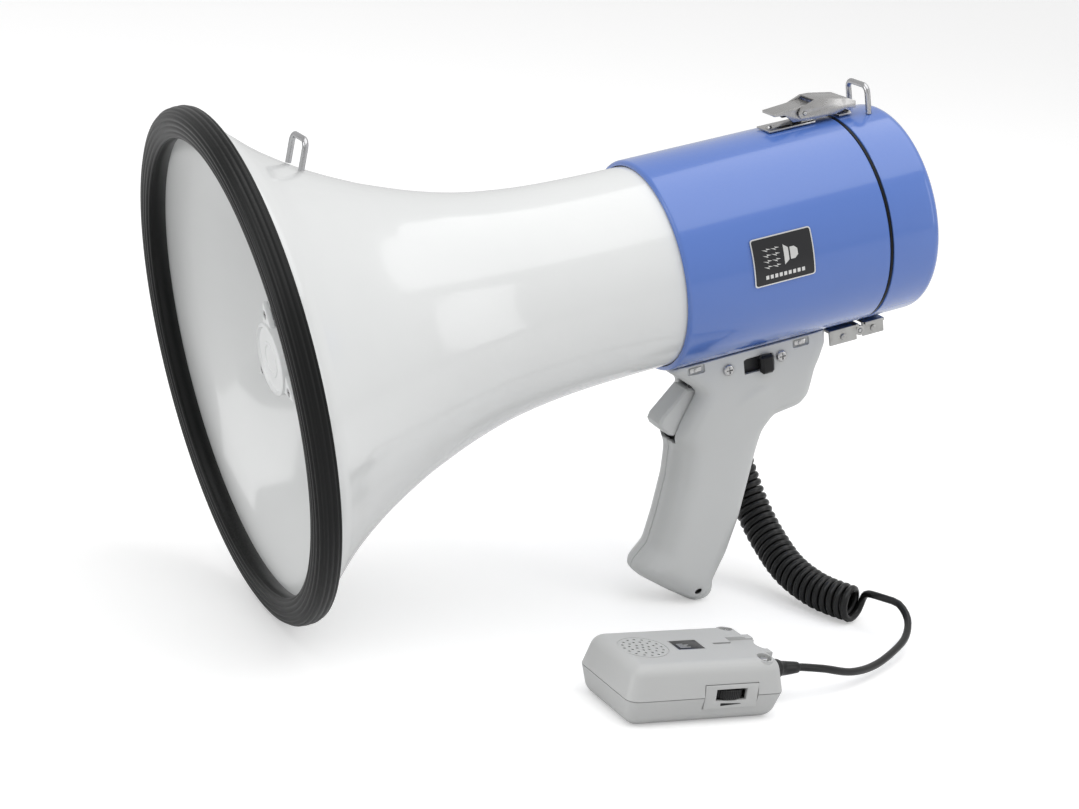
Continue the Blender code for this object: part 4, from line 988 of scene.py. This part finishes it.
def makeHandset():
    high, draft = mic["height"], mic["draft"]
    top = taperedHalf("handsetTop", mic["parting"] + mic["gap"], high, 0, draft, False)
    bottom = taperedHalf("handsetBase", 0, mic["parting"] - mic["gap"], draft, 0, True)
    for shell in (top, bottom):
        carve(shell, *windowCutters())
    holes = []
    for radius, count in grille["rings"]:
        for number in range(count):
            angle = 2 * pi * number / count + radius * 40
            x = grille["centre"][0] + radius * math.cos(angle)
            y = grille["centre"][1] + radius * math.sin(angle)
            holes.append(rodShape("hole", (x, y, high - 0.003), (x, y, high + 0.001), grille["hole"], 10))
    carve(top, joinUp("holes", holes))
    inner, outer = grille["groove"]
    ring = spunShape("grilleGroove", [(high - 0.00022, inner), (high + 0.0005, inner), (high + 0.0005, outer),
                                      (high - 0.00022, outer)], 64)
    settle(ring, Matrix.Translation((*grille["centre"], 0)) @ Matrix.Rotation(-pi / 2, 4, "Y"))
    carve(top, ring)
    weld(top, blockShape("hangerBlock", (0.0250, -0.0105, high - 0.0105), (0.0372, 0.0105, high - 0.0010)))
    notchX, notchRadius = mic["notch"]
    carve(top, blockShape("slot", (0.0130, -0.0008, high - 0.005), (0.0235, 0.0008, high + 0.001)),
          blockShape("hangerWay", (0.0225, -0.0060, high - 0.0016), (0.0420, 0.0060, high + 0.001)),
          rodShape("endNotch", (notchX, 0, high - 0.0075), (notchX, 0, high + 0.002), notchRadius, 48))
    x, spread = mic["screws"]
    for name, node, y in (("handsetScrewLeft", "mic_screw_left", -spread),
                          ("handsetScrewRight", "mic_screw_right", spread)):
        weld(top, rodShape("boss", (x, y, high - 0.0100), (x, y, high - 0.0010), mic["boss"], 32))
        carve(top, rodShape("recess", (x, y, high - 0.0022), (x, y, high + 0.001), mic["recess"], 40),
              rodShape("bore", (x, y, high - 0.012), (x, y, high), mic["bore"], 16))
        handOver(refined(name, node, 0.0002), "screwSteel", "bright_steel", node, angle=40)
    for shell, node in ((top, "mic_shell_top"), (bottom, "mic_shell_bottom")):
        settle(shell, handsetToRow)
        handOver(shell, "handsetGrey", "grey_plastic", node, angle=30)
    x, y = mic["plate"]
    plateBack = blockShape("handsetPlateEdge", (-x, -y, high - 0.00005), (x, y, high + 0.00010))
    plateFace = blockShape("handsetPlate", (-0.0064, -0.0048, high + 0.00005), (0.0064, 0.0048, high + 0.00016))
    lines = [blockShape("line", (-0.0048, -0.0030 + 0.0012 * number, high + 0.00012),
                        (-0.0048 + width, -0.0024 + 0.0012 * number, high + 0.00021))
             for number, width in enumerate(mic["plateLines"])]
    for piece, finish in ((plateBack, "labelSilver"), (plateFace, "labelBlack"),
                          (joinUp("handsetPlateLines", lines), "labelSilver")):
        roundOff(piece, 0.00003, 2)
        settle(piece, handsetToRow)
        handOver(piece, finish, "label_black")
    frameRim = refined("wheelFrame", "mic_side_frame", 0.0002)
    handOver(frameRim, "handsetGrey", "grey_plastic", "mic_side_frame")
    handOver(refined("talkKey", "mic_talk_key", 0.0004, 3), "knobBlack", "black_plastic", "mic_talk_key",
             body="talk_key")


volume = {"centre": (0.0110, -0.0160, mic["parting"] + 0.0008), "radius": 0.0085, "half": 0.0020, "teeth": 48,
          "valley": 0.955}


def makeWheel():
    # knurled edge: a many-sided disc whose alternate edge faces are drawn in
    teeth, centre, valley = volume["teeth"], Vector(volume["centre"]), volume["valley"]
    half = Vector((0, 0, volume["half"]))
    wheel = rodShape("volumeWheel", centre - half, centre + half, volume["radius"], teeth * 2)
    for vertex in wheel.data.vertices:
        away = vertex.co - centre
        angle = math.atan2(away.y, away.x) * teeth / (2 * pi)
        if round(angle * 2) % 2:
            vertex.co.x, vertex.co.y = centre.x + away.x * valley, centre.y + away.y * valley
    roundOff(wheel, 0.0003, 2, 60)
    settle(wheel, handsetToRow)
    handOver(wheel, "knobBlack", "black_plastic", "mic_volume_wheel", body="volume_wheel")
    face = -mic["width"] / 2
    wedge = blockShape("volumeMark", (0.0060, face + 0.0003, mic["parting"] - 0.0040),
                       (0.0160, face + 0.0006, mic["parting"] - 0.0028))
    for vertex in wedge.data.vertices:
        if vertex.co.x > 0.0110:
            vertex.co.z = mic["parting"] - 0.0034 + (vertex.co.z - mic["parting"] + 0.0034) * 0.15
    settle(wedge, handsetToRow)
    handOver(wedge, "knobBlack", "grey_plastic")


reliefs = {
    "height": mic["parting"] + 0.001, "root": ((-0.2500, -0.0178, -0.0920), (-0.2500, -0.0100, -0.0920), 0.0036),
    "profile": [(0.0345, 0.0), (0.0345, 0.0033), (0.0387, 0.0033), (0.0388, 0.0041), (0.0391, 0.0044),
                (0.0465, 0.0044), (0.0480, 0.0043), (0.0492, 0.0038), (0.0497, 0.0034), (0.0520, 0.0032),
                (0.0560, 0.0028), (0.0585, 0.0025), (0.0590, 0.0022), (0.0590, 0.0)],
}


def makeReliefs():
    relief = spunShape("handsetRelief", reliefs["profile"], 40, closed=False)
    settle(relief, handsetToRow @ Matrix.Translation((0, 0, reliefs["height"])))
    handOver(relief, "cordBlack", "black_rubber", "mic_cord_relief")
    gland = refined("gripGland", "handle_cord_gland", 0)
    settle(gland, levelToRow.inverted())
    weld(gland, rodShape("root", *reliefs["root"], 32))
    layInRow(gland, "cordBlack", "black_rubber", "handle_cord_gland", angle=50)


makeHandset()
makeWheel()
makeReliefs()
print("microphone is made")

# Pieces whose CAD shape is right get only their finish
keptPieces = {
    "boardGreen": ["amplifier_board", "mic_board", "contact_plate"],
    "cellWrap": ["battery_cell_%d" % number for number in range(1, 7)] + ["driver_diaphragm", "mic_capsule"],
    "sleeveBlack": ["battery_sleeve", "trigger_switch", "slide_switch_body"],
    "magnetGrey": ["driver_magnet"],
    "screwSteel": ["trigger_pin", "trigger_spring"],
}
for finishName, nodes in keptPieces.items():
    for node in nodes:
        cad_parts[node].data.materials.clear()
        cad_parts[node].data.materials.append(finishes[finishName])

bpy.ops.object.select_all(action="DESELECT")
